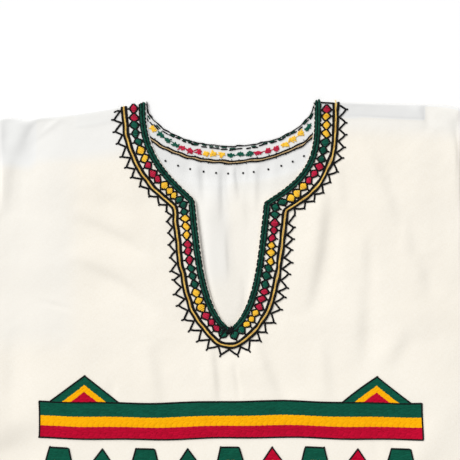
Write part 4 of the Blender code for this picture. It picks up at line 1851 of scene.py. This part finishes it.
Shells = tuple[tuple[Colour, float], ...]
PEAK_SHELLS = ((Colour.FLAT_GREEN, 1.0), (Colour.FLAT_YELLOW, 0.66), (Colour.FLAT_RED, 0.40))
GREEN_SHELLS = ((Colour.FLAT_GREEN, 1.0), (Colour.FLAT_YELLOW, 0.50), (Colour.FLAT_RED, 0.28))
RED_SHELLS = ((Colour.FLAT_RED, 1.0), (Colour.FLAT_YELLOW, 0.52), (Colour.FLAT_GREEN, 0.30))


@dataclass
class ChestWork:
    """A tricolour band with nested peaks on its ends, over a row of nested blocks and lozenges."""

    surface: Height
    left: float = -0.219
    right: float = 0.221
    edges: tuple[float, float, float, float] = (-0.3462, -0.3623, -0.3738, -0.3876)
    peak_height: float = 0.0300
    peak_half: float = 0.0400
    row_middle: float = -0.4290
    row_half: float = 0.0300
    pitch: float = 0.0490
    block_half: float = 0.0185
    lozenge_half: float = 0.0215
    peak_inset: float = 0.052
    fill_pitch: float = 1.05 * MM
    fill_length: float = 6.5 * MM
    hand: Hand = field(default_factory=lambda: Hand(21))

    def __post_init__(self) -> None:
        """Threads the needles."""
        self.threads = {
            colour: Stitches(f"chest_{colour.name[5:].lower()}", colour, self.surface)
            for colour in (Colour.FLAT_GREEN, Colour.FLAT_YELLOW, Colour.FLAT_RED)
        }
        self.black = Stitches("chest_outlines", Colour.BLACK, self.surface)

    def sewn(self) -> list[Stitches]:
        """All the stitches, a set for each thread.

        Returns:
            The sets.
        """
        self.band()
        for middle in (self.left + self.peak_inset, self.right - self.peak_inset):
            self.peak(middle)
        self.row()
        return [*self.threads.values(), self.black]

    def fill(self, colour: Colour, top: float, bottom: float, spans: Callable[[float], list]) -> None:
        """Fills a shape with level rows of stitches laid like bricks.

        Args:
            colour: the thread.
            top: level of the shape's top.
            bottom: level of its bottom.
            spans: for a level, the runs from x to x that the shape covers there.
        """
        rows = max(1, round((top - bottom) / self.fill_pitch))
        for row in range(rows):
            y = top - (top - bottom) * (row + 0.5) / rows
            for first, last in spans(y):
                x = first
                step = self.fill_length * self.hand.share(0.35, 1.0)
                while x < last - 0.3 * MM:
                    end = min(last, x + step)
                    self.lay(colour, x, end, y)
                    x, step = end, self.fill_length

    def lay(self, colour: Colour, first: float, last: float, y: float) -> None:
        """Lays one filling stitch, a little past both its ends.

        Args:
            colour: the thread.
            first: x of its start.
            last: x of its end.
            y: its level.
        """
        past = (0.9 if self.hand.share(0, 1) > 0.012 else -0.5) * MM
        level = y + self.hand.mm(-0.06, 0.06)
        start, end = self.guided(first - past, level), self.guided(last + past, level)
        self.threads[colour].add(start, end, self.fill_pitch * 2.1, self.hand.mm(0.76, 0.84))

    def guided(self, x: float, y: float) -> Points:
        """Where a point of the design lies, with the slow waver of cloth guided by hand.

        Args:
            x: as drawn.
            y: as drawn.

        Returns:
            The point as sewn.
        """
        rise = 1.3 * math.sin(x * 21 + 0.6) + 0.5 * math.sin(x * 63 + y * 30 + 1.9)
        shift = 0.7 * math.sin(y * 70 + x * 18)
        return np.array([x + shift * MM, y + rise * MM])

    def outline(self, corners: Sequence[tuple[float, float]], width: float = 2.1 * MM) -> None:
        """Sews a black stem-stitched line through the corners.

        Args:
            corners: of the line.
            width: of a stitch.
        """
        line = Line(np.array(corners)).even(2 * MM)
        bent = Line(np.array([self.guided(x, y) for x, y in line.points]))
        self.black.along(bent, 2.3 * MM, 3.5 * MM, width, 1.15 * MM, 0.4 * MM)

    def band(self) -> None:
        """The three stripes and their outline."""
        for colour, high, low in zip(self.threads, self.edges, self.edges[1:]):
            self.fill(colour, high, low, lambda _: [(self.left, self.right)])
        left, right, top, bottom = self.left, self.right, self.edges[0], self.edges[-1]
        box = [(left, top), (right, top), (right, bottom), (left, bottom), (left, top)]
        for first, last in zip(box, box[1:]):
            self.outline([first, last])

    def peak(self, middle: float) -> None:
        """Three nested triangles on the band.

        Args:
            middle: x of their middle.
        """
        foot = self.edges[0]
        nest = Nest(Motif.LOZENGE, middle, foot, self.peak_half, self.peak_height, 0.0)
        self.nested(nest, PEAK_SHELLS)
        for way in (-1.0, 1.0):
            self.outline([(middle + way * self.peak_half, foot), (middle, foot + self.peak_height)])

    def nested(self, nest: Nest, shells: Shells) -> None:
        """Fills a motif with rings of thread, one inside the other.

        Args:
            nest: the motif and its place.
            shells: from the outside in, each ring's thread and its size as a share.
        """
        for (colour, outer), inner in zip(shells, [*(size for _, size in shells[1:]), 0.0]):
            top = nest.level + nest.height * outer
            bottom = nest.level - nest.height * outer * nest.below
            self.fill(colour, top, bottom, partial(nest.spans, outer, inner))

    def row(self) -> None:
        """Nested blocks and lozenges, turn and turn about, below the band."""
        for index in range(-4, 5):
            block = index % 2 == 0
            motif, half = (Motif.BLOCK, self.block_half) if block else (Motif.LOZENGE, self.lozenge_half)
            middle = index * self.pitch
            nest = Nest(motif, middle, self.row_middle, half, self.row_half, 1.0)
            self.nested(nest, GREEN_SHELLS if block or index < 0 else RED_SHELLS)
            tip = half * motif.half_width(1.0)
            for up in (-1.0, 1.0):
                end = self.row_middle + up * self.row_half
                for way in (-1.0, 1.0):
                    self.outline([(middle + way * half, self.row_middle), (middle + way * tip, end)])
                if tip > 0:
                    self.outline([(middle - tip, end), (middle + tip, end)])


@dataclass
class PlainSewing:
    """The cream running stitches of the hem and the cuffs."""

    drape: Drape
    sleeves: Sequence[Sleeve]
    inset: float = 0.0192
    pitch: float = 4.2 * MM
    stitch: float = 3.0 * MM
    width: float = 0.55 * MM
    tall: float = 0.30 * MM
    tall_under: float = 0.10 * MM

    def sewn(self) -> list[Stitches]:
        """A set for the front hem, one for the back hem and one for each cuff.

        Returns:
            The sets.
        """
        hem = Line(self.drape.pattern.hem_line()[2:-2] + np.array([0.0, self.inset])).even(1 * MM)
        front = Stitches("hem_stitches", Colour.CREAM, self.drape.front)
        back = Stitches("back_hem_stitches", Colour.CREAM, self.drape.back_under_at, -1.0)
        self.run(front, hem, self.tall)
        self.run(back, hem, self.tall_under)
        return [front, back, *[self.cuff(sleeve) for sleeve in self.sleeves]]

    def run(self, stitches: Stitches, line: Line, tall: float) -> None:
        """Sews running stitches.

        Args:
            stitches: the set to add to.
            line: where they run.
            tall: how far they stand off the cloth.
        """
        for index in range(int(line.length / self.pitch)):
            middle = (index + 0.5) * self.pitch
            reach = line.ahead(middle) * self.stitch / 2
            stitches.add(line.at(middle) - reach, line.at(middle) + reach, self.width, tall)

    def cuff(self, sleeve: Sleeve) -> Stitches:
        """The row round a sleeve's turned cuff.

        Args:
            sleeve: the sleeve.

        Returns:
            The stitches.
        """
        out = sleeve.side.out
        share = 1 - self.inset / sleeve.under_length

        def height(points: Points) -> Points:
            """Height of the sleeve's upper layer along the row."""
            across = np.interp(points[:, 0] * out, ends[::-1, 0], np.linspace(1, 0, len(ends)))
            return sleeve.upper(np.full(len(points), share), across)

        ends = sleeve.base(np.full(40, share), np.linspace(0, 1, 40))
        stitches = Stitches(f"{sleeve.name}_stitches", Colour.CREAM, height)
        self.run(stitches, Line(ends[1:-1] * (out, 1.0)).even(1 * MM), self.tall)
        return stitches


@dataclass
class Tunic:
    """The whole garment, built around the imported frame."""

    drape: Drape
    zero: Points

    def build(self) -> None:
        """Builds the cloth and then the needlework."""
        front, back = self.front(), self.back()
        sleeves = [Sleeve("left_sleeve", LEFT, self.drape), Sleeve("right_sleeve", RIGHT, self.drape)]
        nodes = ("sleeve_left", "sleeve_right")
        tubes = [sleeve.build(self.zero, node) for sleeve, node in zip(sleeves, nodes)]
        skin_area(back)
        skin_area(front)
        self.needlework(sleeves)

    def front(self) -> bpy.types.Object:
        """The front panel.

        Returns:
            The piece.
        """
        pattern = self.drape.pattern
        down = close_ends(np.linspace(0, 1, 43), 0.5)[:-1]
        round_end = np.linspace(0, 1, 51)
        panel = Panel(
            "front",
            self.drape,
            lambda side: np.concatenate([side.slit_top * down, pattern.slit_at(side, round_end)]),
            lambda side, depth: pattern.neck_at(side, depth) - pattern.rim,
            self.drape.front,
            columns=100,
            armhole_rows=98,
            body_rows=118,
        )
        return panel.build(self.zero, "front_panel", self.drape.front_shade)

    def back(self) -> bpy.types.Object:
        """The back panel.

        Returns:
            The piece.
        """
        pattern = self.drape.pattern
        depths = pattern.back_neck_depth * np.sin(np.linspace(0, 1, 25) * np.pi / 2)
        panel = Panel(
            "back",
            self.drape,
            lambda _: depths,
            lambda _, depth: pattern.back_neck_at(depth),
            self.drape.back,
            columns=104,
            armhole_rows=92,
            body_rows=150,
        )
        return panel.build(self.zero, "back_panel", self.drape.back_shade)

    def needlework(self, sleeves: Sequence[Sleeve]) -> None:
        """Every stitched piece.

        Args:
            sleeves: whose cuffs are sewn.
        """
        pattern, drape = self.drape.pattern, self.drape
        front = NeckBand(
            "neck",
            partial(front_neck_line, pattern),
            drape.front,
            1.0,
            ("RRGGGYYRRRYYYGGGYYYRRRGGGYYYRRRG", "RYYYGGGRRRYYYGGGRRRYYYGGGRRRYYYGG"),
            spread=(
                (0.0, 0.16, 0.25, 0.485, 0.50, 0.76, 1.0),
                (-0.002, 0.165, 0.24, 0.479, 0.502, 0.747, 0.996),
            ),
            feet=(
                (0.0, 0.45, 0.77, 0.79, 0.894, 0.947, 1.0),
                (0.006, 0.455, 0.758, 0.788, 0.892, 0.9425, 0.9955),
            ),
            reach=(
                (0.0, 0.11, 0.17, 0.28, 0.36, 0.44, 0.47, 0.70, 0.77, 0.80, 0.90, 1.0),
                (11.3, 10.0, 6.5, 8.0, 12.0, 14.0, 11.0, 10.8, 9.0, 6.0, 9.5, 9.5),
            ),
            lean=(
                (0.0, 0.08, 0.12, 0.22, 0.30, 0.45, 0.60, 0.70, 0.78, 0.82, 1.0),
                (0.64, 0.62, 0.45, 0.50, 0.35, 0.45, 0.55, 0.72, 0.75, 0.55, 0.62),
            ),
        )
        outside = NeckBand(
            "back_outside",
            lambda offset, _: back_neck_line(pattern, offset),
            drape.back_under_at,
            -1.0,
            ("GYYYRRRGGGYYY", "GYYYRRRGGGYYY"),
            relief=0.30,
        )
        inside, knot = ReverseBand(drape), SlitKnot(drape.front)
        for band in (front, knot, outside, inside, ChestWork(drape.front), PlainSewing(drape, sleeves)):
            for stitches in band.sewn():
                if stitches.rows:
                    stitches.build(self.zero)
        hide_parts("neck_braid")
        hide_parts("gold_cord")


@dataclass(frozen=True)
class Studio:
    """The floor, the soft light and the camera that looks straight down on the neck's middle."""

    zero: Points
    view_width: float = 0.529
    view_drop: float = 0.1484
    distance: float = 1.60
    sensor: float = 36.0
    surround: float = 0.67
    sun_size: float = 0.60
    sun_strength: float = 2.45
    sun_colour: tuple[float, float, float] = (1.0, 0.995, 0.985)
    sun_from: tuple[float, float, float] = (-1.35, 1.50, 1.15)

    def build(self) -> None:
        """Sets the stage."""
        self.floor()
        self.light()
        self.camera()

    def floor(self) -> None:
        """A plain pale surface."""
        bm = bmesh.new()
        bmesh.ops.create_grid(bm, x_segments=1, y_segments=1, size=4.0)
        mesh = bpy.data.meshes.new("floor")
        bm.to_mesh(mesh)
        bm.free()
        values = {"Base Color": linear("FAFAFA"), "Roughness": 0.9, "Specular IOR Level": 0.1}
        material, _, _ = new_material("matt_white_board", values)
        mesh.materials.append(material)
        board = bpy.data.objects.new("floor", mesh)
        bpy.context.scene.collection.objects.link(board)

    def light(self) -> None:
        """An even white surround and one large soft light from above the wearer's right shoulder."""
        world = bpy.data.worlds.new("pale surround")
        bpy.context.scene.world = world
        world.use_nodes = True
        ground = world.node_tree.nodes["Background"]
        ground.inputs["Color"].default_value = (1.0, 1.0, 1.0, 1.0)
        ground.inputs["Strength"].default_value = self.surround
        lamp = bpy.data.lights.new("window", "SUN")
        lamp.angle, lamp.energy, lamp.color = self.sun_size, self.sun_strength, self.sun_colour
        window = bpy.data.objects.new("window", lamp)
        window.location = np.array([*self.zero, 0.0]) + self.sun_from
        x, y, z = -np.array(self.sun_from)
        window.rotation_euler = (math.atan2(math.hypot(x, y), -z), 0.0, math.atan2(y, x) - math.pi / 2)
        bpy.context.scene.collection.objects.link(window)
        bpy.context.scene.view_settings.view_transform = "Standard"

    def camera(self) -> None:
        """A long lens over the neck, with the photograph's crop."""
        lens = bpy.data.cameras.new("camera")
        lens.sensor_width = self.sensor
        lens.lens = self.sensor * self.distance / self.view_width
        camera = bpy.data.objects.new("camera", lens)
        camera.location = (self.zero[0], self.zero[1] - self.view_drop, self.distance + 3 * MM)
        bpy.context.scene.collection.objects.link(camera)
        bpy.context.scene.camera = camera


def main() -> None:
    """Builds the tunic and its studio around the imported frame."""
    logging.basicConfig(level=logging.INFO, format="%(name)s %(message)s")
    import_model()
    low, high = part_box("front_panel")
    zero = np.array([(low[0] + high[0]) / 2, high[1] - LEFT.neck_rise])
    Tunic(Drape(Pattern()), zero).build()
    Studio(zero).build()
    bpy.context.view_layer.update()


if __name__ == "__main__":
    main()
